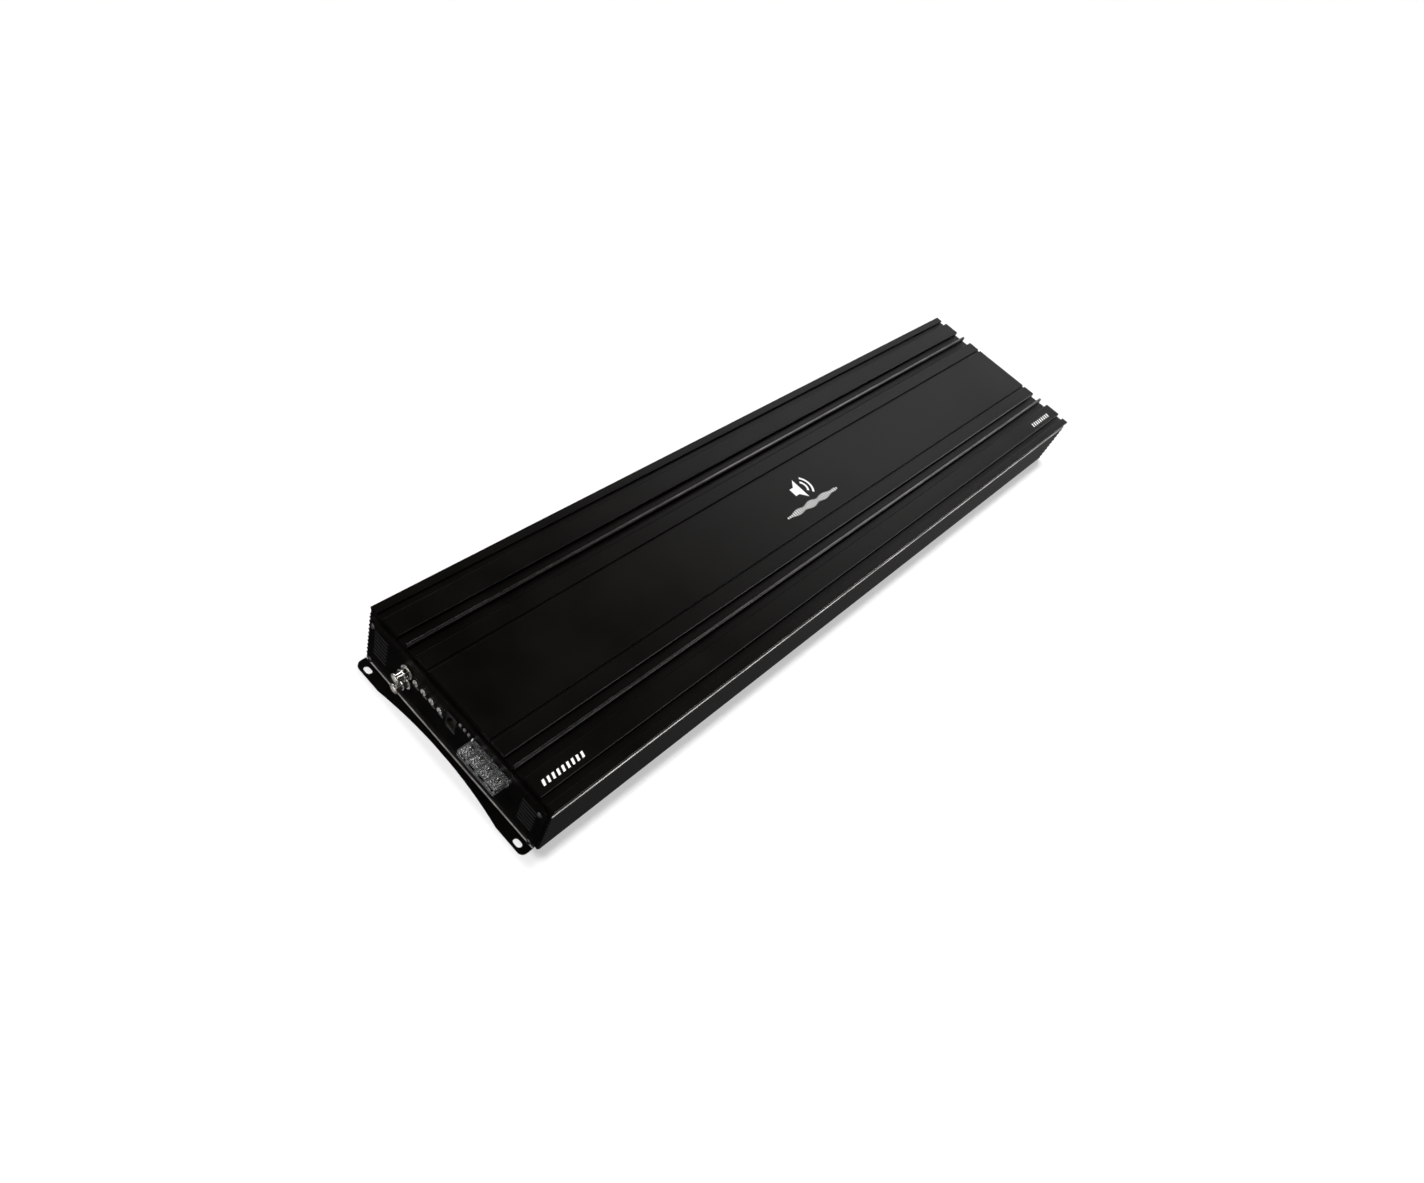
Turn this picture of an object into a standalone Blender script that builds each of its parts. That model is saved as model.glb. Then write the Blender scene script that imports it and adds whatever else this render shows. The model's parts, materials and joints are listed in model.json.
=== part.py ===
"""A long single-channel car amplifier: an extruded heatsink case closed by two folded end plates.

Metres, +Z up. X runs along the case, with the controls at -X and the power input at +X.
Y runs across it. The origin is the middle of the footprint, on the surface it stands on.
"""

import math
from collections import namedtuple

import bmesh
import bpy
from mathutils import Matrix, Vector

MM = 0.001
GAP = 0.3 * MM

# Case extrusion
CASE_LENGTH = 824 * MM
CASE_HALF = CASE_LENGTH / 2
WALL_INNER_Y = 98.5 * MM
BOSS_INNER_Y = 92.5 * MM
BOSS_LOW_Z = (1.8 * MM, 9.0 * MM)
BOSS_HIGH_Z = (46.5 * MM, 54.5 * MM)
CEILING_Z = 57.0 * MM

# Top face, measured outward from the centre line
TOP_Z = 65.5 * MM
EDGE = 0.3 * MM
CENTRE_BAND_Y = 34.5 * MM
THIN_GROOVE_Y = 37.1 * MM
THIN_GROOVE_Z = 63.7 * MM
INNER_BAND_Y = 51.3 * MM
INNER_BAND_CHAMFER = 0.9 * MM
CHANNEL_Z = 60.9 * MM
CHANNEL_Y = 72.0 * MM
BEAD_Y = 61.6 * MM
BEAD_HALF_WIDTH = 1.5 * MM
BEAD_TIP_Z = 66.3 * MM
OUTER_BAND_Y = 90.7 * MM
RIM_GROOVE_Z = 61.6 * MM
RIM_INNER_Y = 97.3 * MM
RIM_OUTER_Y = 105.0 * MM
RIM_Z = 64.3 * MM

# Side face
RECESS_TOP_Z = 62.0 * MM
RECESS_LOW_Z = 55.8 * MM
RECESS_DEPTH = 0.9 * MM
LIP_LOW_Z = 54.6 * MM
FIN_COUNT = 10
FIN_TOP_Z = 53.8 * MM
FIN_LOW_Z = 1.0 * MM
FIN_ROOT_Y = 104.0 * MM
FIN_TIP_Y = 105.5 * MM

# End plates
PLATE_T = 2.0 * MM
PLATE_INNER_X = CASE_HALF + GAP
PLATE_OUTER_X = PLATE_INNER_X + PLATE_T
PLATE_HALF_Y = 101.5 * MM
PLATE_TOP_Z = 59.5 * MM
PLATE_CORNER_R = 7.0 * MM
BEND_INNER_R = 1.2 * MM
FLANGE_EAR_X = CASE_HALF + 12.8 * MM
FLANGE_WAIST_X = CASE_HALF + 6.9 * MM
FLANGE_CURVE_Y = 72.0 * MM
FLANGE_CORNER_R = 5.0 * MM
SLOT_X = CASE_HALF + 8.3 * MM
SLOT_Y = 91.3 * MM
SLOT_LENGTH = 8.4 * MM
SLOT_WIDTH = 5.4 * MM
SCREW_Y = 96.5 * MM
SCREW_Z = (5.3 * MM, 50.5 * MM)
SCREW_HOLE_R = 1.9 * MM
SCREW_SHANK_R = 1.5 * MM
SCREW_HEAD_R = 2.5 * MM
SCREW_HEAD_T = 1.8 * MM
SCREW_LENGTH = 13.0 * MM
SCREW_HOLE_DEPTH = 14.0 * MM

# Vent slots beside the controls
VENT_COUNT = 7
VENT_TOP_Z = 46.0 * MM
VENT_PITCH = 4.6 * MM
VENT_HEIGHT = 1.5 * MM
VENT_Y = (78.5 * MM, 94.0 * MM)

# Signal sockets and controls
RCA_Y = 53.5 * MM
RCA_Z = {"lower": 29.4 * MM, "upper": 43.4 * MM}
RCA_BARREL_R = 4.15 * MM
RCA_BORE_R = 3.6 * MM
RCA_RING_R = 6.5 * MM
RCA_RING_T = 1.8 * MM
RCA_REACH = 12.2 * MM
RCA_TAIL = 5.0 * MM
RCA_CONTACT_R = 1.7 * MM
RCA_BODY_HALF_Y = 6.5 * MM
RCA_BODY_MARGIN_Z = 8.5 * MM
CONTROL_DEPTH = 11.7 * MM
KNOB_NAMES = ("gain", "low_pass", "subsonic", "bass_boost")
KNOB_FIRST_Y = 42.2 * MM
KNOB_PITCH = 9.6 * MM
KNOB_Z = 42.5 * MM
KNOB_R = 3.1 * MM
KNOB_REACH = 2.4 * MM
KNOB_SLOT_WIDTH = 1.0 * MM
KNOB_SLOT_DEPTH = 1.1 * MM
KNOB_HOLE_R = 2.6 * MM
SHAFT_R = 1.7 * MM
SHAFT_LENGTH = 6.0 * MM
POT_HALF = (4.4 * MM, 5.5 * MM)
POT_BORE_R = 2.1 * MM
POT_BORE_DEPTH = 7.0 * MM
PORT_Y = 1.8 * MM
PORT_Z = 41.0 * MM
PORT_HALF = (5.5 * MM, 8.0 * MM)
PORT_LIP = 0.8 * MM
PORT_DEPTH = 11.0 * MM
MOUTH_HALF_Y = 4.4 * MM
MOUTH_Z = (-5.0 * MM, 3.0 * MM)
LATCH_HALF_Y = 1.8 * MM
LATCH_Z = (2.0 * MM, 5.6 * MM)
LED_NAMES = ("power", "protect", "clip")
LED_FIRST_Y = -7.6 * MM
LED_PITCH = 4.9 * MM
LED_Z = 49.6 * MM
LED_R = 1.5 * MM
LED_REACH = 1.2 * MM
LED_TAIL = 6.0 * MM

# Screw terminals
TERMINAL_REACH = 14.0 * MM
TERMINAL_TAIL = 4.0 * MM
TERMINAL_SCREW_X = 5.6 * MM
HOUSING_WALL = 0.8 * MM
COLLAR = 0.6 * MM
COLLAR_T = 1.4 * MM
BARREL_SETBACK = 1.2 * MM
BARREL_BACK_WALL = 1.5 * MM
SET_SCREW_SINK = 0.2 * MM
SPEAKER_Y = -42.7 * MM
SPEAKER_PITCH = 10.3 * MM
SPEAKER_Z = 46.4 * MM
SPEAKER_BARREL = (8.0 * MM, 6.0 * MM)
SPEAKER_WIRE = (6.4 * MM, 4.6 * MM)
SPEAKER_WIRE_Z = 46.1 * MM
SPEAKER_SCREW_R = 1.7 * MM
POWER_Z = 30.0 * MM
POWER_BARREL = (14.0 * MM, 13.6 * MM)
POWER_WIRE = (10.8 * MM, 10.8 * MM)
POWER_SCREW_R = 3.0 * MM
REMOTE_BARREL = (7.4 * MM, 13.6 * MM)
REMOTE_WIRE = (5.4 * MM, 10.8 * MM)
POWER_TERMINAL_Y = 14.2 * MM

# Cooling fans behind the power end plate
FAN_Y = 62.0 * MM
FAN_Z = 29.6 * MM
FAN_SIZE = 49.4 * MM
FAN_DEPTH = 15.0 * MM
FAN_DUCT_R = 23.5 * MM
FAN_HUB_R = 11.5 * MM
FAN_BLADE_R = 22.6 * MM
FAN_BLADES = 7
FAN_CHORD = 11.0 * MM
FAN_BLADE_T = 1.0 * MM
FAN_BLADE_PITCH = 48
FAN_SUPPORT_T = 2.0 * MM
FAN_STRUT_WIDTH = 3.0 * MM
FAN_STRUT_T = (0.2 * MM, 1.8 * MM)
FAN_STRUT_ANGLES = (90, 210, 330)
GRILLE_R = 22.0 * MM
GRILLE_PITCH = 5.0 * MM
GRILLE_SLOT = 3.0 * MM

# Base and inside
COVER_T = 1.5 * MM
COVER_HALF = (CASE_HALF - GAP, WALL_INNER_Y - GAP)
COVER_SCREW_X = (-380 * MM, 0.0, 380 * MM)
COVER_SCREW_Y = 95.5 * MM
COVER_SCREW_HOLE_R = 3.0 * MM
COVER_SCREW_TAP_R = 1.6 * MM
BOARD_T = 1.6 * MM
BOARD_Z = BOSS_LOW_Z[1] + GAP
BOARD_TOP_Z = BOARD_Z + BOARD_T
BOARD_HALF = (386 * MM, 96 * MM)
CONTROL_BOARD_X = -CASE_HALF + 12 * MM
CONTROL_BOARD_Y = (-6 * MM, 62 * MM)
CONTROL_BOARD_TOP_Z = 54 * MM
TRANSFORMER_X = (250 * MM, 150 * MM)
TRANSFORMER_R = (27 * MM, 13 * MM)
INDUCTOR_X = -220 * MM
INDUCTOR_R = (22 * MM, 12 * MM)
CAPACITOR_COUNT = 4
CAPACITOR_FIRST_X = -100 * MM
CAPACITOR_PITCH = 45 * MM
CAPACITOR_R = 17.5 * MM
CAPACITOR_HEIGHT = 40 * MM
CLAMP_HALF_X = 330 * MM
CLAMP_INNER_Y = 91 * MM
CLAMP_Z = (18 * MM, 34 * MM)

# Sides of round shapes
ROUND = 24
MEDIUM_ROUND = 16
SMALL_ROUND = 12

Terminal = namedtuple("Terminal", "prefix y barrel wire wire_z wire_is_round screw_r")

parts = None
cutters = None


def material(name, colour, roughness, metallic=0.0, transmission=0.0):
    made = bpy.data.materials.new(name)
    made.use_nodes = True
    shader = made.node_tree.nodes["Principled BSDF"]
    shader.inputs["Base Color"].default_value = (*colour, 1.0)
    shader.inputs["Roughness"].default_value = roughness
    shader.inputs["Metallic"].default_value = metallic
    shader.inputs["Transmission Weight"].default_value = transmission
    return made


def make_materials():
    return {
        "anodised": material("black_anodised_aluminium", (0.012, 0.011, 0.010), 0.42, 0.8),
        "painted": material("black_painted_steel", (0.012, 0.012, 0.012), 0.5),
        "chrome": material("bright_nickel", (0.80, 0.78, 0.75), 0.18, 1.0),
        "zinc": material("zinc_plated_steel", (0.62, 0.62, 0.60), 0.35, 1.0),
        "clear": material("clear_polycarbonate", (0.85, 0.87, 0.88), 0.08, 0.0, 0.9),
        "black_plastic": material("black_plastic", (0.02, 0.02, 0.02), 0.45),
        "white_plastic": material("white_plastic", (0.75, 0.74, 0.70), 0.4),
        "led": material("frosted_led", (0.55, 0.56, 0.58), 0.3, 0.0, 0.4),
        "board": material("green_circuit_board", (0.02, 0.13, 0.05), 0.45),
        "copper": material("enamelled_copper", (0.55, 0.20, 0.07), 0.35, 0.9),
        "sleeve": material("capacitor_sleeve", (0.03, 0.03, 0.05), 0.35),
    }


def place(mesh, name, finish=None):
    """Links a mesh as a part, or as a hidden cutter where it has no finish."""
    thing = bpy.data.objects.new(name, mesh)
    if finish:
        mesh.materials.append(finish)
        parts.objects.link(thing)
        return thing
    cutters.objects.link(thing)
    thing.hide_render = True
    thing.display_type = "WIRE"
    return thing


def add_box(shape, low, high):
    centre = (Vector(low) + Vector(high)) / 2
    size = Vector(high) - Vector(low)
    matrix = Matrix.Translation(centre) @ Matrix.Diagonal((*size, 1.0))
    bmesh.ops.create_cube(shape, size=1.0, matrix=matrix)


def add_cylinder(shape, start, end, radius, segments):
    start, end = Vector(start), Vector(end)
    turn = (end - start).to_track_quat("Z", "Y").to_matrix().to_4x4()
    bmesh.ops.create_cone(
        shape, cap_ends=True, segments=segments, radius1=radius, radius2=radius,
        depth=(end - start).length, matrix=Matrix.Translation((start + end) / 2) @ turn,
    )


def finish_shape(shape, name, finish=None):
    """Turns a bmesh in world coordinates into a part, or into a cutter."""
    mesh = bpy.data.meshes.new(name)
    shape.to_mesh(mesh)
    shape.free()
    return place(mesh, name, finish)


def boxes(name, ranges, finish=None):
    """One object made of boxes, each given by its lowest and highest corners."""
    shape = bmesh.new()
    for low, high in ranges:
        add_box(shape, low, high)
    return finish_shape(shape, name, finish)


def cylinders(name, rods, segments, finish=None):
    """One object made of round rods, each given by its start, end and radius."""
    shape = bmesh.new()
    for start, end, radius in rods:
        add_cylinder(shape, start, end, radius, segments)
    return finish_shape(shape, name, finish)


def combine(target, tool, operation="DIFFERENCE"):
    step = target.modifiers.new(operation.lower(), "BOOLEAN")
    step.operation = operation
    step.solver = "EXACT"
    step.object = tool
    return target


def turned(name, profile, centre, axis, steps, finish, closed=False):
    """A profile of (radius, height) pairs, outer side first from the top, turned about an axis."""
    mesh = bpy.data.meshes.new(name)
    points = [(radius, 0.0, height) for radius, height in profile]
    edges = [(i, i + 1) for i in range(len(points) - 1)]
    if closed:
        edges.append((len(points) - 1, 0))
    mesh.from_pydata(points, edges, [])
    thing = place(mesh, name, finish)
    thing.location = centre
    thing.rotation_euler = Vector(axis).to_track_quat("Z", "Y").to_euler()
    screw = thing.modifiers.new("turn", "SCREW")
    screw.steps = steps
    screw.render_steps = steps
    screw.use_merge_vertices = True
    screw.merge_threshold = 0.00001
    screw.use_smooth_shade = True
    return thing


def extruded(name, outline, half_depth, rotation=(0, 0, 0), location=(0, 0, 0), finish=None):
    """A closed flat outline in its own XY plane, extruded both ways along its own Z."""
    curve = bpy.data.curves.new(name + "_outline", "CURVE")
    curve.dimensions = "2D"
    curve.fill_mode = "BOTH"
    curve.extrude = half_depth
    spline = curve.splines.new("POLY")
    spline.points.add(len(outline) - 1)
    for point, (x, y) in zip(spline.points, outline):
        point.co = (x, y, 0.0, 1.0)
    spline.use_cyclic_u = True
    flat = bpy.data.objects.new(name + "_outline", curve)
    bpy.context.scene.collection.objects.link(flat)
    bpy.context.view_layer.update()
    mesh = bpy.data.meshes.new_from_object(flat.evaluated_get(bpy.context.evaluated_depsgraph_get()))
    bpy.data.objects.remove(flat)
    bpy.data.curves.remove(curve)
    shape = bmesh.new()
    shape.from_mesh(mesh)
    bpy.data.meshes.remove(mesh)
    bmesh.ops.remove_doubles(shape, verts=shape.verts, dist=0.000001)
    bmesh.ops.recalc_face_normals(shape, faces=shape.faces)
    solid = bpy.data.meshes.new(name)
    shape.to_mesh(solid)
    shape.free()
    thing = place(solid, name, finish)
    thing.rotation_euler = rotation
    thing.location = location
    return thing


ALONG_X = (math.pi / 2, 0, math.pi / 2)
ALONG_Y = (math.pi / 2, 0, 0)


def mirrored_outline(half):
    """A half outline at +X, from its first to its last point, closed by its mirror image."""
    return half + [(-x, y) for x, y in reversed(half)]


def arc(centre, radius, start, end, count):
    """Points on an arc, with the angles in degrees."""
    points = []
    for i in range(count + 1):
        angle = math.radians(start + (end - start) * i / count)
        points.append((centre[0] + radius * math.cos(angle), centre[1] + radius * math.sin(angle)))
    return points


def top_half_outline():
    """The top face of the extrusion, from the centre band out to the rim."""
    bead_shoulder = BEAD_TIP_Z - 0.5 * BEAD_HALF_WIDTH
    return [
        (CENTRE_BAND_Y - EDGE, TOP_Z),
        (CENTRE_BAND_Y, TOP_Z - EDGE),
        (CENTRE_BAND_Y, THIN_GROOVE_Z),
        (THIN_GROOVE_Y, THIN_GROOVE_Z),
        (THIN_GROOVE_Y, TOP_Z - EDGE),
        (THIN_GROOVE_Y + EDGE, TOP_Z),
        (INNER_BAND_Y - INNER_BAND_CHAMFER, TOP_Z),
        (INNER_BAND_Y, TOP_Z - INNER_BAND_CHAMFER),
        (INNER_BAND_Y, CHANNEL_Z),
        (BEAD_Y - BEAD_HALF_WIDTH, CHANNEL_Z),
        (BEAD_Y - BEAD_HALF_WIDTH, bead_shoulder),
        (BEAD_Y - BEAD_HALF_WIDTH / 2, BEAD_TIP_Z),
        (BEAD_Y + BEAD_HALF_WIDTH / 2, BEAD_TIP_Z),
        (BEAD_Y + BEAD_HALF_WIDTH, bead_shoulder),
        (BEAD_Y + BEAD_HALF_WIDTH, CHANNEL_Z),
        (CHANNEL_Y, CHANNEL_Z),
        (CHANNEL_Y, TOP_Z - 2 * EDGE),
        (CHANNEL_Y + 2 * EDGE, TOP_Z),
        (OUTER_BAND_Y - 2 * EDGE, TOP_Z),
        (OUTER_BAND_Y, TOP_Z - 2 * EDGE),
        (OUTER_BAND_Y, RIM_GROOVE_Z),
        (RIM_INNER_Y, RIM_GROOVE_Z),
        (RIM_INNER_Y, RIM_Z - EDGE),
        (RIM_INNER_Y + EDGE, RIM_Z),
        (RIM_OUTER_Y - EDGE, RIM_Z),
        (RIM_OUTER_Y, RIM_Z - EDGE),
    ]


def side_half_outline():
    """The side face of the extrusion, from under the rim down to its fins and foot."""
    recess_y = RIM_OUTER_Y - RECESS_DEPTH
    points = [
        (RIM_OUTER_Y, RECESS_TOP_Z),
        (recess_y, RECESS_TOP_Z - RECESS_DEPTH),
        (recess_y, RECESS_LOW_Z + RECESS_DEPTH),
        (RIM_OUTER_Y, RECESS_LOW_Z),
        (RIM_OUTER_Y, LIP_LOW_Z),
    ]
    pitch = (FIN_TOP_Z - FIN_LOW_Z) / FIN_COUNT
    for i in range(FIN_COUNT):
        fin_top = FIN_TOP_Z - i * pitch
        points.append((FIN_ROOT_Y, fin_top))
        points.append((FIN_TIP_Y, fin_top - pitch / 2))
    points.append((FIN_ROOT_Y, FIN_LOW_Z))
    points.append((FIN_ROOT_Y, 0.0))
    return points


def inside_half_outline():
    """The inside of the extrusion, from its foot up to the middle of its ceiling."""
    return [
        (WALL_INNER_Y, 0.0),
        (WALL_INNER_Y, BOSS_LOW_Z[0]),
        (BOSS_INNER_Y, BOSS_LOW_Z[0]),
        (BOSS_INNER_Y, BOSS_LOW_Z[1]),
        (WALL_INNER_Y, BOSS_LOW_Z[1]),
        (WALL_INNER_Y, BOSS_HIGH_Z[0]),
        (BOSS_INNER_Y, BOSS_HIGH_Z[0]),
        (BOSS_INNER_Y, BOSS_HIGH_Z[1]),
        (BOSS_INNER_Y - 2.5 * MM, CEILING_Z),
    ]


def plate_screw_places(side):
    """Centres of an end plate's four screws, on the plate's outer face."""
    return [
        (side * PLATE_OUTER_X, y, z)
        for y in (SCREW_Y, -SCREW_Y)
        for z in SCREW_Z
    ]


def make_chassis(looks):
    outline = mirrored_outline(top_half_outline() + side_half_outline() + inside_half_outline())
    chassis = extruded(
        "heatsink_chassis", outline, CASE_HALF, rotation=ALONG_X, finish=looks["anodised"])
    holes = []
    for side in (-1, 1):
        for x, y, z in plate_screw_places(side):
            start = (side * (CASE_HALF - SCREW_HOLE_DEPTH), y, z)
            holes.append((start, (x, y, z), SCREW_HOLE_R))
    combine(chassis, cylinders("chassis_end_hole_cutter", holes, SMALL_ROUND))
    holes = []
    for x in COVER_SCREW_X:
        for y in (COVER_SCREW_Y, -COVER_SCREW_Y):
            holes.append(((x, y, 0.0), (x, y, BOSS_LOW_Z[1] - MM), COVER_SCREW_TAP_R))
    return combine(chassis, cylinders("chassis_base_hole_cutter", holes, SMALL_ROUND))


def make_bottom_cover(looks):
    half_x, half_y = COVER_HALF
    cover = boxes(
        "bottom_cover", [((-half_x, -half_y, 0), (half_x, half_y, COVER_T))], looks["painted"])
    holes = []
    for x in COVER_SCREW_X:
        for y in (COVER_SCREW_Y, -COVER_SCREW_Y):
            holes.append(((x, y, -MM), (x, y, COVER_T + MM), COVER_SCREW_HOLE_R))
    return combine(cover, cylinders("cover_hole_cutter", holes, MEDIUM_ROUND))


def plate_profile():
    """The folded plate seen from its edge: X outward from the case end, Z up."""
    inner_bend = (PLATE_OUTER_X + BEND_INNER_R, PLATE_T + BEND_INNER_R)
    outer_r = BEND_INNER_R + PLATE_T
    outer_bend = arc(inner_bend, outer_r, 270, 180, 4)
    inside_bend = arc(inner_bend, BEND_INNER_R, 180, 270, 4)
    return (
        [(FLANGE_EAR_X + MM, 0.0)]
        + outer_bend
        + [(PLATE_INNER_X, PLATE_TOP_Z), (PLATE_OUTER_X, PLATE_TOP_Z)]
        + inside_bend
        + [(FLANGE_EAR_X + MM, PLATE_T)]
    )


def flange_outline():
    """The plate seen from above: rounded ears joined by a shallow hollow curve. X is across."""
    margin = 5 * MM
    sagitta = FLANGE_EAR_X - FLANGE_WAIST_X
    radius = (FLANGE_CURVE_Y ** 2 + sagitta ** 2) / (2 * sagitta)
    half_angle = math.degrees(math.asin(FLANGE_CURVE_Y / radius))
    waist = arc((0.0, FLANGE_WAIST_X + radius), radius, 270, 270 + half_angle, 8)
    ear_centre = (PLATE_HALF_Y - FLANGE_CORNER_R, FLANGE_EAR_X - FLANGE_CORNER_R)
    corner = arc(ear_centre, FLANGE_CORNER_R, 90, 0, 5)
    return mirrored_outline(waist[1:] + corner + [(PLATE_HALF_Y, PLATE_INNER_X - margin)])


def front_outline():
    """The plate seen from its end: square at the fold, with rounded top corners."""
    margin = 5 * MM
    corner_centre = (PLATE_HALF_Y - PLATE_CORNER_R, PLATE_TOP_Z - PLATE_CORNER_R)
    corner = arc(corner_centre, PLATE_CORNER_R, 0, 90, 6)
    return mirrored_outline([(PLATE_HALF_Y, -margin)] + corner)


def make_end_plate(name, side, looks):
    profile = [(side * x, z) for x, z in plate_profile()]
    plate = extruded(
        name, profile, PLATE_HALF_Y + MM, rotation=ALONG_Y, finish=looks["painted"])
    middle = (side * (PLATE_INNER_X + FLANGE_EAR_X) / 2, 0, 0)
    front = extruded(
        name + "_front_guide", front_outline(), 20 * MM, rotation=ALONG_X, location=middle)
    combine(plate, front, "INTERSECT")
    seen_from_above = [(side * outward, y) for y, outward in flange_outline()]
    above = extruded(name + "_flange_guide", seen_from_above, 100 * MM)
    combine(plate, above, "INTERSECT")
    holes = []
    for x, y, z in plate_screw_places(side):
        holes.append(((x - 4 * MM, y, z), (x + 4 * MM, y, z), SCREW_HOLE_R))
    combine(plate, cylinders(name + "_screw_hole_cutter", holes, SMALL_ROUND))
    for y in (SLOT_Y, -SLOT_Y):
        straight = (SLOT_LENGTH - SLOT_WIDTH) / 2
        radius = SLOT_WIDTH / 2
        slot = arc((0, straight), radius, 0, 180, 6) + arc((0, -straight), radius, 180, 360, 6)
        cutter = extruded(
            name + "_slot_cutter", slot, 5 * MM, location=(side * SLOT_X, y, PLATE_T / 2))
        combine(plate, cutter)
    return plate


def make_plate_screws(prefix, side, looks):
    """Pan-head screws, each with a low domed head outside the plate."""
    for number, (x, y, z) in enumerate(plate_screw_places(side), start=1):
        seat = GAP
        top = seat + SCREW_HEAD_T
        profile = [
            (0.0, top),
            (0.6 * SCREW_HEAD_R, top - 0.25 * MM),
            (SCREW_HEAD_R, seat + 0.5 * MM),
            (SCREW_HEAD_R, seat),
            (SCREW_SHANK_R, seat),
            (SCREW_SHANK_R, seat - SCREW_LENGTH),
            (0.0, seat - SCREW_LENGTH),
        ]
        turned(f"{prefix}_{number}", profile, (x, y, z), (side, 0, 0), SMALL_ROUND, looks["zinc"])


def cut_control_openings(plate):
    x_range = (-PLATE_OUTER_X - 2 * MM, -PLATE_INNER_X + 2 * MM)
    vents = []
    for i in range(VENT_COUNT):
        z = VENT_TOP_Z - i * VENT_PITCH
        for low_y, high_y in (VENT_Y, (-VENT_Y[1], -VENT_Y[0])):
            low = (x_range[0], low_y, z - VENT_HEIGHT / 2)
            vents.append((low, (x_range[1], high_y, z + VENT_HEIGHT / 2)))
    half_y, half_z = PORT_HALF
    low = (x_range[0], PORT_Y - half_y - GAP, PORT_Z - half_z - GAP)
    vents.append((low, (x_range[1], PORT_Y + half_y + GAP, PORT_Z + half_z + GAP)))
    combine(plate, boxes("control_plate_slot_cutter", vents))
    rods = []
    for z in RCA_Z.values():
        rods.append((RCA_Y, z, RCA_BARREL_R + GAP))
    for i in range(len(KNOB_NAMES)):
        rods.append((KNOB_FIRST_Y - i * KNOB_PITCH, KNOB_Z, KNOB_HOLE_R))
    for i in range(len(LED_NAMES)):
        rods.append((LED_FIRST_Y - i * LED_PITCH, LED_Z, LED_R + GAP))
    holes = [((x_range[0], y, z), (x_range[1], y, z), r) for y, z, r in rods]
    combine(plate, cylinders("control_plate_hole_cutter", holes, MEDIUM_ROUND))


def cut_fan_grilles(plate):
    """Upright slots whose lengths follow a circle in front of each fan."""
    x_range = (PLATE_INNER_X - 2 * MM, PLATE_OUTER_X + 2 * MM)
    slots = []
    count = int(GRILLE_R / GRILLE_PITCH)
    for fan_y in (FAN_Y, -FAN_Y):
        for i in range(-count, count + 1):
            y = fan_y + i * GRILLE_PITCH
            reach = math.sqrt(GRILLE_R ** 2 - (i * GRILLE_PITCH) ** 2)
            low = (x_range[0], y - GRILLE_SLOT / 2, FAN_Z - reach)
            slots.append((low, (x_range[1], y + GRILLE_SLOT / 2, FAN_Z + reach)))
    combine(plate, boxes("power_plate_grille_cutter", slots))


def make_rca_jacks(looks):
    """Two sockets, one above the other, in one moulded body behind the plate."""
    inner_x = -PLATE_INNER_X + GAP
    back_x = -CASE_HALF + CONTROL_DEPTH
    low = (inner_x, RCA_Y - RCA_BODY_HALF_Y, RCA_Z["lower"] - RCA_BODY_MARGIN_Z)
    high = (back_x, RCA_Y + RCA_BODY_HALF_Y, RCA_Z["upper"] + RCA_BODY_MARGIN_Z)
    body = boxes("rca_jack_body", [(low, high)], looks["black_plastic"])
    sockets = []
    for z in RCA_Z.values():
        start = (inner_x - 2 * MM, RCA_Y, z)
        sockets.append((start, (back_x - 4 * MM, RCA_Y, z), RCA_BARREL_R + GAP))
    combine(body, cylinders("rca_body_bore_cutter", sockets, MEDIUM_ROUND))
    for level, z in RCA_Z.items():
        centre = (-PLATE_OUTER_X, RCA_Y, z)
        tail = -PLATE_T - GAP - RCA_TAIL
        ring_top = GAP + RCA_RING_T
        profile = [
            (RCA_BORE_R, RCA_REACH),
            (RCA_BARREL_R - EDGE, RCA_REACH),
            (RCA_BARREL_R, RCA_REACH - EDGE),
            (RCA_BARREL_R, ring_top),
            (RCA_RING_R - EDGE, ring_top),
            (RCA_RING_R, ring_top - EDGE),
            (RCA_RING_R, GAP),
            (RCA_BARREL_R, GAP),
            (RCA_BARREL_R, tail),
            (RCA_BORE_R, tail),
        ]
        turned(f"rca_shell_{level}", profile, centre, (-1, 0, 0), ROUND, looks["chrome"], True)
        insert_r = RCA_BORE_R - GAP
        profile = [
            (RCA_CONTACT_R, RCA_REACH - MM),
            (insert_r, RCA_REACH - MM),
            (insert_r, tail),
            (RCA_CONTACT_R, tail),
        ]
        name = f"rca_insulator_{level}"
        turned(name, profile, centre, (-1, 0, 0), MEDIUM_ROUND, looks["white_plastic"], True)


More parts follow.
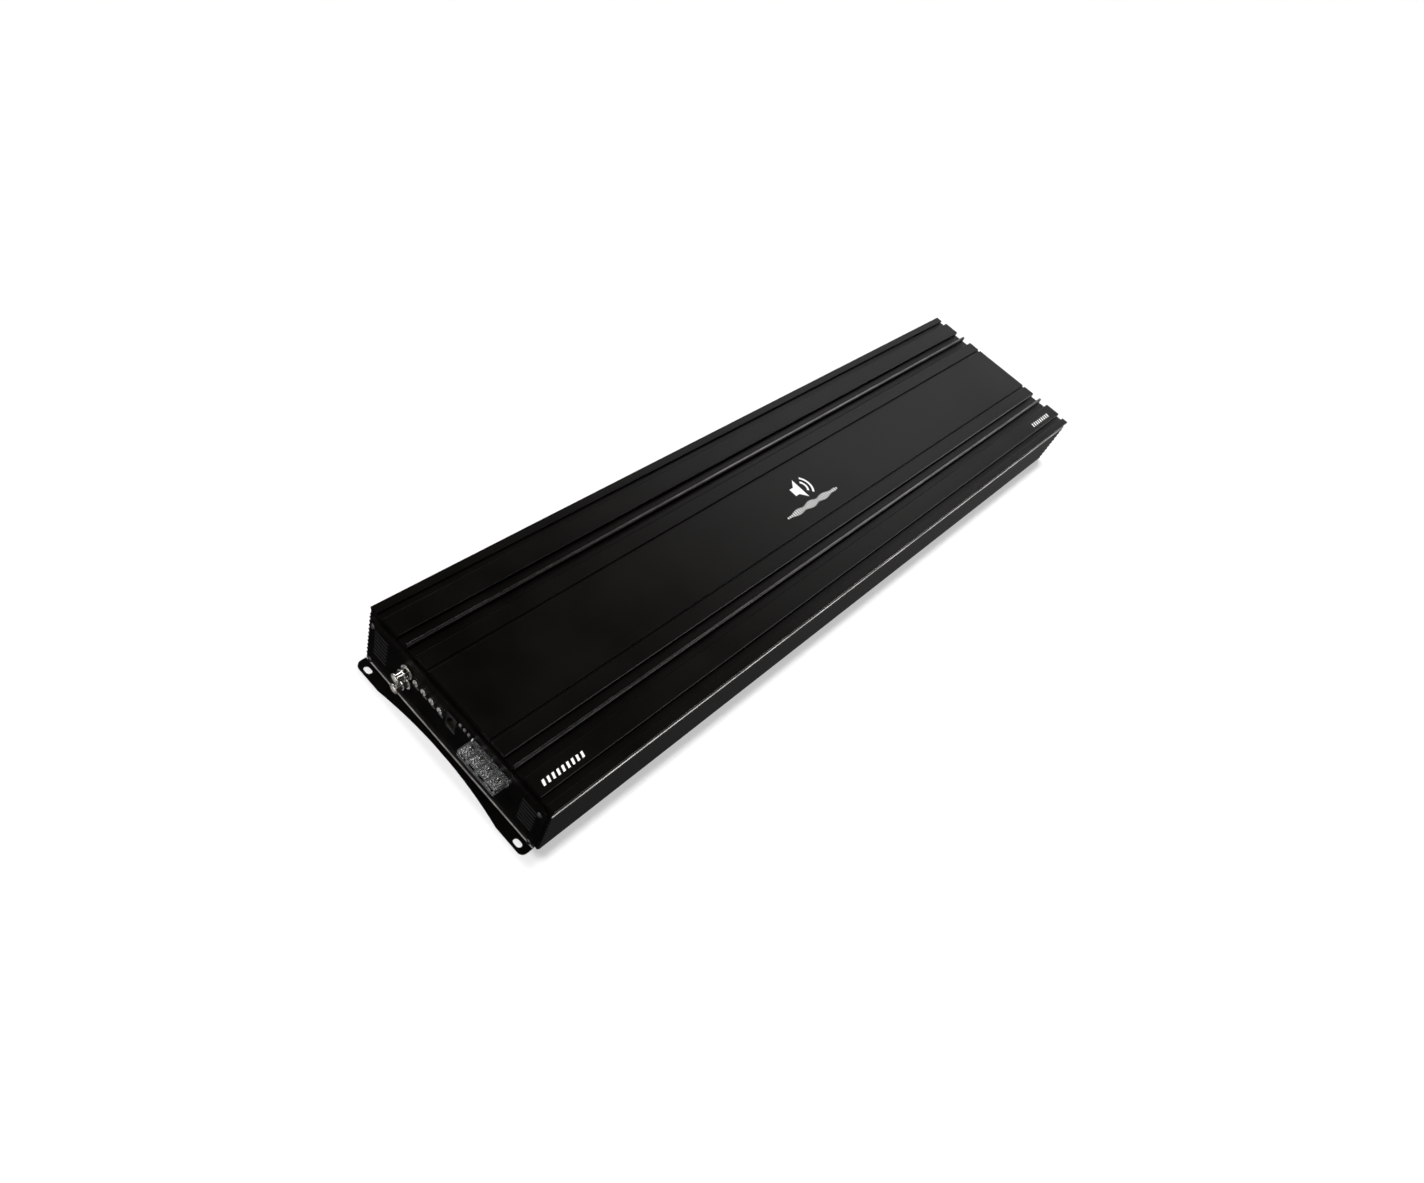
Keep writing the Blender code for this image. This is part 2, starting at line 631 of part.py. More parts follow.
def make_controls(looks):
    """Four slotted adjusters, each turning in its own potentiometer."""
    for i, name in enumerate(KNOB_NAMES):
        y = KNOB_FIRST_Y - i * KNOB_PITCH
        centre = (-PLATE_OUTER_X, y, KNOB_Z)
        seat = GAP
        tail = -PLATE_T - GAP - SHAFT_LENGTH
        profile = [
            (0.0, KNOB_REACH),
            (KNOB_R - 2 * EDGE, KNOB_REACH),
            (KNOB_R, KNOB_REACH - 2 * EDGE),
            (KNOB_R, seat),
            (SHAFT_R, seat),
            (SHAFT_R, tail),
            (0.0, tail),
        ]
        knob = turned(f"{name}_knob", profile, centre, (-1, 0, 0), 20, looks["chrome"])
        tip_x = -PLATE_OUTER_X - KNOB_REACH
        low = (tip_x - MM, y - KNOB_SLOT_WIDTH / 2, KNOB_Z - 2 * KNOB_R)
        high = (tip_x + KNOB_SLOT_DEPTH, y + KNOB_SLOT_WIDTH / 2, KNOB_Z + 2 * KNOB_R)
        combine(knob, boxes(f"{name}_slot_cutter", [(low, high)]))
        half_y, half_z = POT_HALF
        low = (-PLATE_INNER_X + GAP, y - half_y, KNOB_Z - half_z)
        high = (-CASE_HALF + CONTROL_DEPTH, y + half_y, KNOB_Z + half_z)
        pot = boxes(f"{name}_potentiometer", [(low, high)], looks["black_plastic"])
        bore = [((low[0] - MM, y, KNOB_Z), (low[0] + POT_BORE_DEPTH, y, KNOB_Z), POT_BORE_R)]
        combine(pot, cylinders(f"{name}_bore_cutter", bore, SMALL_ROUND))


def make_port_and_leds(looks):
    half_y, half_z = PORT_HALF
    low = (-PLATE_OUTER_X - PORT_LIP, PORT_Y - half_y, PORT_Z - half_z)
    high = (-CASE_HALF + CONTROL_DEPTH, PORT_Y + half_y, PORT_Z + half_z)
    port = boxes("remote_level_port", [(low, high)], looks["black_plastic"])
    hollows = (("mouth", MOUTH_HALF_Y, MOUTH_Z), ("latch", LATCH_HALF_Y, LATCH_Z))
    for hollow, hollow_half_y, (below, above) in hollows:
        start = (low[0] - MM, PORT_Y - hollow_half_y, PORT_Z + below)
        end = (low[0] + PORT_DEPTH, PORT_Y + hollow_half_y, PORT_Z + above)
        combine(port, boxes(f"port_{hollow}_cutter", [(start, end)]))
    for i, name in enumerate(LED_NAMES):
        centre = (-PLATE_OUTER_X, LED_FIRST_Y - i * LED_PITCH, LED_Z)
        profile = [
            (0.0, LED_REACH),
            (0.6 * LED_R, 0.8 * LED_REACH),
            (LED_R, 0.2 * LED_REACH),
            (LED_R, -LED_TAIL),
            (0.0, -LED_TAIL),
        ]
        turned(f"{name}_led", profile, centre, (-1, 0, 0), SMALL_ROUND, looks["led"])


def make_terminals(side, name, centre_z, terminals, plate, looks):
    """A clear housing on an end plate, with a metal barrel and a set screw in each pocket."""
    front = PLATE_OUTER_X + TERMINAL_REACH
    back = PLATE_INNER_X - TERMINAL_TAIL
    pocket_back = PLATE_OUTER_X - MM
    barrel_back = pocket_back + GAP
    barrel_front = front - BARREL_SETBACK
    wall = GAP + HOUSING_WALL
    half_z = max(terminal.barrel[1] for terminal in terminals) / 2 + wall
    low_y = min(terminal.y - terminal.barrel[0] / 2 for terminal in terminals) - wall
    high_y = max(terminal.y + terminal.barrel[0] / 2 for terminal in terminals) + wall
    top_z = centre_z + half_z
    screw_x = side * (PLATE_OUTER_X + TERMINAL_SCREW_X)

    def block(start, end, y, z, size, grow=0.0):
        """A box from one distance out to another, centred across on y and z."""
        low_x, high_x = sorted((side * start, side * end))
        half_y, half_height = size[0] / 2 + grow, size[1] / 2 + grow
        return ((low_x, y - half_y, z - half_height), (high_x, y + half_y, z + half_height))

    middle_y = (low_y + high_y) / 2
    outer = (high_y - low_y, 2 * half_z)
    housing = boxes(
        f"{name}_housing", [block(back, front, middle_y, centre_z, outer)], looks["clear"])
    collar_back = PLATE_OUTER_X + GAP
    collar = block(collar_back, collar_back + COLLAR_T, middle_y, centre_z, outer, COLLAR)
    combine(housing, boxes(f"{name}_collar", [collar]), "UNION")
    opening = block(PLATE_INNER_X - MM, PLATE_OUTER_X + MM, middle_y, centre_z, outer, GAP)
    combine(plate, boxes(f"{name}_opening_cutter", [opening]))
    pockets = []
    top_holes = []
    for item in terminals:
        pockets.append(block(pocket_back, front + MM, item.y, centre_z, item.barrel, GAP))
        above = (screw_x, item.y, top_z + MM)
        top_holes.append(((screw_x, item.y, centre_z), above, item.screw_r + 2 * GAP))
    combine(housing, boxes(f"{name}_pocket_cutter", pockets))
    combine(housing, cylinders(f"{name}_top_hole_cutter", top_holes, MEDIUM_ROUND))
    for item in terminals:
        shape = block(barrel_back, barrel_front, item.y, centre_z, item.barrel)
        barrel = boxes(f"{item.prefix}_terminal", [shape], looks["chrome"])
        wire_back = barrel_back + BARREL_BACK_WALL
        if item.wire_is_round:
            start = (side * wire_back, item.y, item.wire_z)
            wire = (start, (side * (front + MM), item.y, item.wire_z), item.wire[0] / 2)
            combine(barrel, cylinders(f"{item.prefix}_wire_cutter", [wire], ROUND))
        else:
            wire = block(wire_back, front + MM, item.y, item.wire_z, item.wire)
            combine(barrel, boxes(f"{item.prefix}_wire_cutter", [wire]))
        above = (screw_x, item.y, top_z)
        tapped = ((screw_x, item.y, item.wire_z), above, item.screw_r + GAP)
        combine(barrel, cylinders(f"{item.prefix}_tapped_hole_cutter", [tapped], MEDIUM_ROUND))
        make_set_screw(item, screw_x, top_z - SET_SCREW_SINK, looks)


def make_set_screw(item, screw_x, top_z, looks):
    """A hexagon-socket set screw, backed out to the top of the wire space."""
    length = top_z - (item.wire_z + item.wire[1] / 2) - GAP / 3
    profile = [
        (0.0, 0.0),
        (item.screw_r - EDGE, 0.0),
        (item.screw_r, -EDGE),
        (item.screw_r, -length),
        (0.0, -length),
    ]
    screw = turned(
        f"{item.prefix}_terminal_screw", profile, (screw_x, item.y, top_z), (0, 0, 1),
        MEDIUM_ROUND, looks["chrome"])
    bottom = (screw_x, item.y, top_z - 0.6 * length)
    hexagon = (bottom, (screw_x, item.y, top_z + MM), 0.55 * item.screw_r)
    combine(screw, cylinders(f"{item.prefix}_hexagon_cutter", [hexagon], 6))


def make_fan(name, y, looks):
    """A square axial fan just behind the power end plate. Its rotor turns about X."""
    front = PLATE_INNER_X - GAP
    back = front - FAN_DEPTH
    half = FAN_SIZE / 2
    low = (back, y - half, FAN_Z - half)
    frame = boxes(f"fan_frame_{name}", [(low, (front, y + half, FAN_Z + half))], looks["black_plastic"])
    duct = [((back - MM, y, FAN_Z), (front + MM, y, FAN_Z), FAN_DUCT_R)]
    combine(frame, cylinders(f"fan_duct_cutter_{name}", duct, 28))
    support_front = back + FAN_SUPPORT_T
    disc = [((back, y, FAN_Z), (support_front, y, FAN_Z), FAN_HUB_R)]
    combine(frame, cylinders(f"fan_motor_plate_{name}", disc, MEDIUM_ROUND), "UNION")
    for i, angle in enumerate(FAN_STRUT_ANGLES):
        strut = bmesh.new()
        half_width = FAN_STRUT_WIDTH / 2
        low = (FAN_STRUT_T[0], FAN_HUB_R - 2 * MM, -half_width)
        add_box(strut, low, (FAN_STRUT_T[1], FAN_DUCT_R + MM, half_width))
        turn = Matrix.Translation((back, y, FAN_Z)) @ Matrix.Rotation(math.radians(angle), 4, "X")
        bmesh.ops.transform(strut, matrix=turn, verts=strut.verts)
        combine(frame, finish_shape(strut, f"fan_strut_{name}_{i}"), "UNION")
    hub_back = support_front + GAP
    hub_front = front - MM
    centre = ((hub_back + hub_front) / 2, y, FAN_Z)
    half_hub = (hub_front - hub_back) / 2
    profile = [
        (0.0, half_hub),
        (FAN_HUB_R - MM, half_hub),
        (FAN_HUB_R, half_hub - MM),
        (FAN_HUB_R, -half_hub),
        (0.0, -half_hub),
    ]
    rotor = turned(f"fan_rotor_{name}", profile, centre, (1, 0, 0), 21, looks["black_plastic"])
    for i in range(FAN_BLADES):
        blade = bmesh.new()
        low = (-FAN_CHORD / 2, FAN_HUB_R - MM, -FAN_BLADE_T / 2)
        add_box(blade, low, (FAN_CHORD / 2, FAN_BLADE_R, FAN_BLADE_T / 2))
        pitch = Matrix.Rotation(math.radians(FAN_BLADE_PITCH), 4, "Y")
        turn = Matrix.Rotation(2 * math.pi * i / FAN_BLADES, 4, "X")
        bmesh.ops.transform(blade, matrix=Matrix.Translation(centre) @ turn @ pitch, verts=blade.verts)
        combine(rotor, finish_shape(blade, f"fan_blade_{name}_{i}"), "UNION")


def make_toroid(name, x, radii, looks):
    """A wound ring core lying flat on the board."""
    major, minor = radii
    sides = 9
    profile = arc((major, 0.0), minor, 90, -270, sides)[:-1]
    centre = (x, 0, BOARD_TOP_Z + GAP + minor)
    turned(name, profile, centre, (0, 0, 1), ROUND, looks["copper"], True)


def make_inside(looks):
    half_x, half_y = BOARD_HALF
    boxes("main_board", [((-half_x, -half_y, BOARD_Z), (half_x, half_y, BOARD_TOP_Z))], looks["board"])
    low = (CONTROL_BOARD_X, CONTROL_BOARD_Y[0], BOARD_TOP_Z + GAP)
    high = (CONTROL_BOARD_X + BOARD_T, CONTROL_BOARD_Y[1], CONTROL_BOARD_TOP_Z)
    boxes("control_board", [(low, high)], looks["board"])
    for number, x in enumerate(TRANSFORMER_X, start=1):
        make_toroid(f"power_transformer_{number}", x, TRANSFORMER_R, looks)
    make_toroid("output_inductor", INDUCTOR_X, INDUCTOR_R, looks)
    for i in range(CAPACITOR_COUNT):
        centre = (CAPACITOR_FIRST_X + i * CAPACITOR_PITCH, 0, BOARD_TOP_Z + GAP)
        profile = [
            (0.0, CAPACITOR_HEIGHT),
            (CAPACITOR_R - MM, CAPACITOR_HEIGHT),
            (CAPACITOR_R, CAPACITOR_HEIGHT - MM),
            (CAPACITOR_R, 0.0),
            (0.0, 0.0),
        ]
        turned(f"rail_capacitor_{i + 1}", profile, centre, (0, 0, 1), 20, looks["sleeve"])
    for name, side in (("left", 1), ("right", -1)):
        y_range = sorted((side * CLAMP_INNER_Y, side * (WALL_INNER_Y - GAP)))
        low = (-CLAMP_HALF_X, y_range[0], CLAMP_Z[0])
        high = (CLAMP_HALF_X, y_range[1], CLAMP_Z[1])
        boxes(f"transistor_clamp_{name}", [(low, high)], looks["zinc"])


def main():
    global parts, cutters
    for thing in list(bpy.data.objects):
        bpy.data.objects.remove(thing)
    parts = bpy.data.collections.new("car_amplifier")
    cutters = bpy.data.collections.new("cutters")
    bpy.context.scene.collection.children.link(parts)
    bpy.context.scene.collection.children.link(cutters)
    looks = make_materials()
    make_chassis(looks)
    make_bottom_cover(looks)
    control_plate = make_end_plate("control_end_plate", -1, looks)
    power_plate = make_end_plate("power_end_plate", 1, looks)
    make_plate_screws("control_plate_screw", -1, looks)
    make_plate_screws("power_plate_screw", 1, looks)
    cut_control_openings(control_plate)
    cut_fan_grilles(power_plate)
    make_rca_jacks(looks)
    make_controls(looks)
    make_port_and_leds(looks)
    speakers = [
        Terminal(
            f"speaker_{i + 1}", SPEAKER_Y + (1.5 - i) * SPEAKER_PITCH, SPEAKER_BARREL,
            SPEAKER_WIRE, SPEAKER_WIRE_Z, False, SPEAKER_SCREW_R)
        for i in range(4)
    ]
    make_terminals(-1, "speaker_terminal", SPEAKER_Z, speakers, control_plate, looks)
    inputs = [
        Terminal(
            "battery", POWER_TERMINAL_Y, POWER_BARREL, POWER_WIRE, POWER_Z, True, POWER_SCREW_R),
        Terminal("remote", 0.0, REMOTE_BARREL, REMOTE_WIRE, POWER_Z, False, SPEAKER_SCREW_R),
        Terminal(
            "ground", -POWER_TERMINAL_Y, POWER_BARREL, POWER_WIRE, POWER_Z, True, POWER_SCREW_R),
    ]
    make_terminals(1, "power_terminal", POWER_Z, inputs, power_plate, looks)
    make_fan("left", FAN_Y, looks)
    make_fan("right", -FAN_Y, looks)
    make_inside(looks)


main()
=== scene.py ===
"""Looks of the car amplifier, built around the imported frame. Metres, +Z up."""
import json
import math
import random

import bmesh
import bpy
from mathutils import Matrix, Vector


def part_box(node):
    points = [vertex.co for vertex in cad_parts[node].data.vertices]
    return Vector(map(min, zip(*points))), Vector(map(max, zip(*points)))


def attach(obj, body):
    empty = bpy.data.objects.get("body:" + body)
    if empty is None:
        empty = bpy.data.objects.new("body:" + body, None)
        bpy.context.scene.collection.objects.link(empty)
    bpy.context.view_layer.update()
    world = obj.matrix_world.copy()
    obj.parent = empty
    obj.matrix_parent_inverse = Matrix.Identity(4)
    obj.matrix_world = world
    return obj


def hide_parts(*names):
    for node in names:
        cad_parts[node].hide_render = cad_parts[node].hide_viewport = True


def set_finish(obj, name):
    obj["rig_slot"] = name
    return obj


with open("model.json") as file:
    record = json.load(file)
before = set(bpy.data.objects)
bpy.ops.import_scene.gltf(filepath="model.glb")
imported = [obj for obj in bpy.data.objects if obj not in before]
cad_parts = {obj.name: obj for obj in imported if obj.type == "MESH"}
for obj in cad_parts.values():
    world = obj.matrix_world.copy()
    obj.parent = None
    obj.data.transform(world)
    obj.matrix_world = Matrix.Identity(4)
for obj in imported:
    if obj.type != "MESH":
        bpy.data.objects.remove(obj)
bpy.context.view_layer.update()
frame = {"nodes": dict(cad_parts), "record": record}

MM = 0.001
NODES = frame["nodes"]
BODY_OF = {node: body for body, nodes in frame["record"]["behaviour"]["bodies"].items() for node in nodes}
SLOT_OF = {part["node"]: part["material_slot"] for part in frame["record"]["subparts"]}

# ---------------------------------------------------------------- materials


class Look:
    """A Principled material that is built up with procedural detail in object space."""

    def __init__(self, name, roughness, metallic=0.0, ior=1.5, transmission=0.0, coat=0.0):
        self.material = bpy.data.materials.new(name)
        self.material.use_nodes = True
        self.tree = self.material.node_tree
        self.shader = self.tree.nodes["Principled BSDF"]
        self.set("Roughness", roughness)
        self.set("Metallic", metallic)
        self.set("IOR", ior)
        self.set("Transmission Weight", transmission)
        self.set("Coat Weight", coat)
        self.coords = self.tree.nodes.new("ShaderNodeTexCoord").outputs["Object"]

    def set(self, socket, value):
        self.shader.inputs[socket].default_value = value

    def link(self, output, socket):
        self.tree.links.new(output, self.shader.inputs[socket])

    def node(self, kind, **inputs):
        made = self.tree.nodes.new(kind)
        for key, value in inputs.items():
            socket = made.inputs[key]
            if isinstance(value, bpy.types.NodeSocket):
                self.tree.links.new(value, socket)
            else:
                socket.default_value = value
        return made

    def noise(self, size, stretch=(1, 1, 1), detail=3.0, roughness=0.55):
        """Noise whose features measure about size metres, before the stretch."""
        mapping = self.node("ShaderNodeMapping", Vector=self.coords, Scale=stretch)
        made = self.node(
            "ShaderNodeTexNoise", Vector=mapping.outputs[0], Scale=1.0 / size, Detail=detail,
            Roughness=roughness)
        return made.outputs[0]

    def cells(self, size):
        """Distance to the middle of irregular cells of about size metres."""
        made = self.node("ShaderNodeTexVoronoi", Vector=self.coords, Scale=1.0 / size)
        return made.outputs["Distance"]

    def band(self, value, low, high, out_low, out_high):
        """Maps a value from one range to another, held at the ends."""
        made = self.tree.nodes.new("ShaderNodeMapRange")
        self.tree.links.new(value, made.inputs["Value"])
        made.inputs["From Min"].default_value = low
        made.inputs["From Max"].default_value = high
        made.inputs["To Min"].default_value = out_low
        made.inputs["To Max"].default_value = out_high
        return made.outputs[0]

    def maths(self, operation, first, second):
        """One sum or product of two values."""
        made = self.tree.nodes.new("ShaderNodeMath")
        made.operation = operation
        for index, value in enumerate((first, second)):
            if isinstance(value, bpy.types.NodeSocket):
                self.tree.links.new(value, made.inputs[index])
            else:
                made.inputs[index].default_value = value
        return made.outputs[0]

    def bump(self, height, depth, strength=1.0):
        """Fine relief of a depth in metres."""
        made = self.node("ShaderNodeBump", Strength=strength, Distance=depth, Height=height)
        self.link(made.outputs[0], "Normal")

    def colour(self, value, first, second):
        """A base colour between two, by a value from 0 to 1."""
        made = self.tree.nodes.new("ShaderNodeMix")
        made.data_type = "RGBA"
        self.tree.links.new(value, made.inputs[0])
        for index, colour in ((6, first), (7, second)):
            made.inputs[index].default_value = (*colour, 1.0)
        self.link(made.outputs[2], "Base Color")

    def rough(self, value, low, high):
        """A roughness that varies between two."""
        self.link(self.band(value, 0.3, 0.7, low, high), "Roughness")


def anodised(name, dark, light, rough_low, rough_high):
    """Black anodised extrusion: fine die lines along X, soft clouds of tone, faint specks."""
    look = Look(name, 0.4, ior=1.5)
    look.set("Specular IOR Level", 0.3)
    lines = look.noise(0.35 * MM, stretch=(0.004, 1, 1), detail=4.0, roughness=0.7)
    clouds = look.noise(60 * MM, detail=3.0)
    specks = look.noise(0.6 * MM, detail=2.0)
    look.colour(look.band(clouds, 0.35, 0.65, 0.0, 1.0), dark, light)
    look.rough(look.maths("ADD", look.maths("MULTIPLY", lines, 0.5), look.maths("MULTIPLY", clouds, 0.5)),
               rough_low, rough_high)
    look.bump(look.maths("ADD", lines, look.maths("MULTIPLY", specks, 0.35)), 0.02 * MM, 0.55)
    return look.material


def worn_edge(name, dark, light):
    """A thin finish over metal on an edge, rubbed through unevenly along its length."""
    look = Look(name, 0.3, metallic=1.0)
    rubs = look.noise(9 * MM, stretch=(0.35, 1, 1), detail=5.0)
    grain = look.noise(0.5 * MM, detail=3.0)
    look.colour(look.band(rubs, 0.35, 0.7, 0.0, 1.0), dark, light)
    look.rough(grain, 0.22, 0.4)
    look.bump(grain, 0.015 * MM, 0.5)
    return look.material


def powder_coat(name, dark, light):
    """Semi-gloss powder coat: a fine orange-peel skin with slight patches of gloss."""
    look = Look(name, 0.42, ior=1.5)
    look.set("Specular IOR Level", 0.15)
    peel = look.noise(0.9 * MM, detail=3.0)
    patches = look.noise(18 * MM, detail=3.0)
    look.colour(look.band(patches, 0.35, 0.65, 0.0, 1.0), dark, light)
    look.rough(patches, 0.34, 0.5)
    look.bump(peel, 0.05 * MM, 0.5)
    return look.material


def plated(name, first, second, rough_low, rough_high, smear=4 * MM):
    """Bright plating: uneven polish, small stains, and a fine all-over scratch."""
    look = Look(name, 0.2, metallic=1.0)
    stains = look.noise(smear, detail=4.0)
    scratch = look.noise(0.15 * MM, stretch=(1, 0.15, 1), detail=2.0)
    look.colour(look.band(stains, 0.3, 0.7, 0.0, 1.0), first, second)
    look.rough(stains, rough_low, rough_high)
    look.bump(scratch, 0.01 * MM, 0.4)
    return look.material


def moulded(name, first, second, roughness, grain=0.25 * MM, coat=0.0):
    """Moulded plastic: a fine spark-eroded grain and slight sheen changes."""
    look = Look(name, roughness, ior=1.5, coat=coat)
    fine = look.noise(grain, detail=2.0)
    flow = look.noise(8 * MM, detail=3.0)
    look.colour(look.band(flow, 0.35, 0.65, 0.0, 1.0), first, second)
    look.rough(flow, roughness - 0.06, roughness + 0.08)
    look.bump(fine, 0.02 * MM, 0.5)
    return look.material


def clear_plastic(name):
    """Clear moulded polycarbonate with flow waves and small scuffs."""
    look = Look(name, 0.06, ior=1.58, transmission=0.98)
    waves = look.noise(2 * MM, detail=2.0)
    scuffs = look.noise(0.5 * MM, stretch=(1, 0.3, 1), detail=4.0)
    look.colour(look.band(waves, 0.3, 0.7, 0.0, 1.0), (0.84, 0.86, 0.87), (0.97, 0.98, 0.98))
    look.rough(scuffs, 0.03, 0.16)
    look.bump(waves, 0.09 * MM, 0.5)
    return look.material


def clamp_metal(name, first, second):
    """Nickel-plated clamp block: stained, with a rough cast skin that glints in small specks."""
    look = Look(name, 0.2, metallic=1.0)
    stains = look.noise(1.3 * MM, detail=4.0)
    pits = look.noise(0.9 * MM, detail=2.0)
    look.colour(look.band(stains, 0.44, 0.58, 0.0, 1.0), first, second)
    look.rough(stains, 0.10, 0.30)
    look.bump(pits, 0.22 * MM, 0.8)
    return look.material


def ink(name, first, second):
    """Screen-printed ink: slightly uneven cover and a dry surface."""
    look = Look(name, 0.5, ior=1.45)
    cover = look.noise(0.5 * MM, detail=4.0)
    look.colour(look.band(cover, 0.35, 0.6, 0.0, 1.0), first, second)
    look.rough(cover, 0.42, 0.6)
    look.bump(cover, 0.01 * MM, 0.5)
    return look.material


def circuit_board(name):
    """Green solder mask over copper areas, with a slight weave."""
    look = Look(name, 0.4, ior=1.5, coat=0.3)
    tracks = look.cells(7 * MM)
    weave = look.noise(1.2 * MM, detail=1.0)
    look.colour(look.band(tracks, 0.42, 0.46, 0.0, 1.0), (0.010, 0.085, 0.03), (0.02, 0.16, 0.055))
    look.rough(weave, 0.3, 0.45)
    look.bump(tracks, 0.04 * MM, 0.6)
    return look.material


def winding(name):
    """Enamelled copper wire: uneven tone under a clear coat."""
    look = Look(name, 0.3, metallic=0.9, coat=0.6)
    tone = look.noise(5 * MM, detail=3.0)
    look.colour(look.band(tone, 0.3, 0.7, 0.0, 1.0), (0.42, 0.13, 0.035), (0.72, 0.29, 0.10))
    look.rough(tone, 0.2, 0.36)
    look.bump(look.noise(0.6 * MM, detail=2.0), 0.02 * MM, 0.5)
    return look.material


def sleeve(name):
    """Heat-shrunk capacitor sleeve with long soft ripples."""
    look = Look(name, 0.3, ior=1.5)
    ripple = look.noise(2 * MM, stretch=(1, 1, 0.2), detail=2.0)
    look.colour(ripple, (0.012, 0.014, 0.03), (0.03, 0.033, 0.06))
    look.rough(ripple, 0.22, 0.36)
    look.bump(ripple, 0.05 * MM, 0.5)
    return look.material


LOOKS = {
    "anodised_black": anodised(
        "anodised_black", (0.0018, 0.0015, 0.0011), (0.0030, 0.0027, 0.0022), 0.28, 0.38),
    "bead_crest": worn_edge("worn_bead_crest", (0.22, 0.217, 0.21), (0.40, 0.395, 0.38)),
    "painted_black": powder_coat("painted_black", (0.0015, 0.0013, 0.0010), (0.0026, 0.0023, 0.0018)),
    "painted_bend": worn_edge("worn_painted_bend", (0.22, 0.215, 0.21), (0.42, 0.41, 0.40)),
    "dark_zinc": plated("dark_zinc", (0.07, 0.07, 0.07), (0.17, 0.168, 0.16), 0.22, 0.4, smear=1.2 * MM),
    "zinc_steel": plated("zinc_steel", (0.52, 0.53, 0.54), (0.70, 0.69, 0.66), 0.22, 0.42),
    "clamp_nickel": clamp_metal("clamp_nickel", (0.05, 0.049, 0.047), (0.90, 0.89, 0.87)),
    "bright_nickel": plated("bright_nickel", (0.72, 0.70, 0.67), (0.88, 0.86, 0.83), 0.08, 0.22),
    "black_plastic": moulded("black_plastic", (0.010, 0.010, 0.010), (0.018, 0.018, 0.018), 0.42),
    "white_plastic": moulded("white_plastic", (0.62, 0.60, 0.56), (0.75, 0.73, 0.70), 0.35),
    "led_plastic": moulded("led_plastic", (0.10, 0.10, 0.105), (0.17, 0.17, 0.175), 0.28, coat=0.3),
    "clear_plastic": clear_plastic("clear_plastic"),
    "circuit_board": circuit_board("circuit_board"),
    "copper_winding": winding("copper_winding"),
    "capacitor_sleeve": sleeve("capacitor_sleeve"),
    "white_ink": ink("white_ink", (0.74, 0.74, 0.73), (0.90, 0.90, 0.89)),
    "grey_ink": ink("grey_ink", (0.10, 0.10, 0.10), (0.17, 0.17, 0.165)),
    "faint_ink": ink("faint_ink", (0.020, 0.018, 0.016), (0.032, 0.030, 0.027)),
    "brass": plated("contact_gold", (0.75, 0.50, 0.18), (0.88, 0.66, 0.30), 0.15, 0.28),
}

# ---------------------------------------------------------------- mesh helpers


def piece(mesh, name, body, slot, look):
    """Links a mesh as a visible piece that rides on a body."""
    made = bpy.data.objects.new(name, mesh)
    bpy.context.scene.collection.objects.link(made)
    made.data.materials.clear()
    made.data.materials.append(LOOKS[look])
    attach(made, body)
    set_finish(made, slot)
    return made


def applied(thing):
    """Bakes an object's modifiers into its mesh."""
    bpy.context.view_layer.update()
    evaluated = thing.evaluated_get(bpy.context.evaluated_depsgraph_get())
    mesh = bpy.data.meshes.new_from_object(evaluated)
    thing.modifiers.clear()
    thing.data = mesh
    return thing


def mesh_of(shape, name):
    """A mesh made from an edited shape, which is then freed."""
    mesh = bpy.data.meshes.new(name)
    shape.to_mesh(mesh)
    shape.free()
    return mesh


def sharpen(mesh, degrees=35):
    """Smooth shading, but sharp along edges that turn by more than an angle."""
    mesh.shade_smooth()
    mesh.set_sharp_from_angle(angle=math.radians(degrees))


def refined(node, width, segments=2, angle=25, min_length=0.0, look=None):
    """The CAD node's own shape with its edges rounded, as a visible piece that replaces it.

    Only edges longer than min_length that turn by more than angle are rounded. Large faces set the
    normals at their corners, so that they stay flat beside a rounded edge.
    """
    shape = bmesh.new()
    shape.from_mesh(NODES[node].data)
    bmesh.ops.remove_doubles(shape, verts=shape.verts, dist=0.002 * MM)
    bmesh.ops.dissolve_limit(
        shape, angle_limit=math.radians(0.6), verts=shape.verts, edges=shape.edges)
    chosen = [
        edge for edge in shape.edges
        if len(edge.link_faces) == 2
        and edge.calc_face_angle(0.0) > math.radians(angle)
        and edge.calc_length() > min_length
    ]
    bmesh.ops.bevel(
        shape, geom=chosen, offset=width, offset_type="OFFSET", segments=segments, profile=0.5,
        affect="EDGES", clamp_overlap=True)
    mesh = mesh_of(shape, node + "_skin")
    sharpen(mesh)
    slot = SLOT_OF[node]
    made = piece(mesh, node + "_skin", BODY_OF[node], slot, look or slot)
    flatten = made.modifiers.new("flatten", "WEIGHTED_NORMAL")
    flatten.keep_sharp = True
    flatten.weight = 100
    applied(made)
    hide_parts(node)
    return made


def lathe(name, profile, segments, closed=False):
    """A mesh turned about Z from (radius, height) pairs, listed down the outer side."""
    shape = bmesh.new()
    rings = []
    for radius, height in profile:
        if radius < 1e-7:
            rings.append([shape.verts.new((0, 0, height))])
            continue
        ring = []
        for i in range(segments):
            turn = 2 * math.pi * i / segments
            ring.append(shape.verts.new((radius * math.cos(turn), radius * math.sin(turn), height)))
        rings.append(ring)
    pairs = list(zip(rings, rings[1:]))
    if closed:
        pairs.append((rings[-1], rings[0]))
    for upper, lower in pairs:
        for i in range(segments):
            j = (i + 1) % segments
            corners = [
                upper[i % len(upper)], lower[i % len(lower)],
                lower[j % len(lower)], upper[j % len(upper)]]
            shape.faces.new(list(dict.fromkeys(corners)))
    bmesh.ops.recalc_face_normals(shape, faces=shape.faces)
    mesh = mesh_of(shape, name)
    sharpen(mesh, 40)
    return mesh


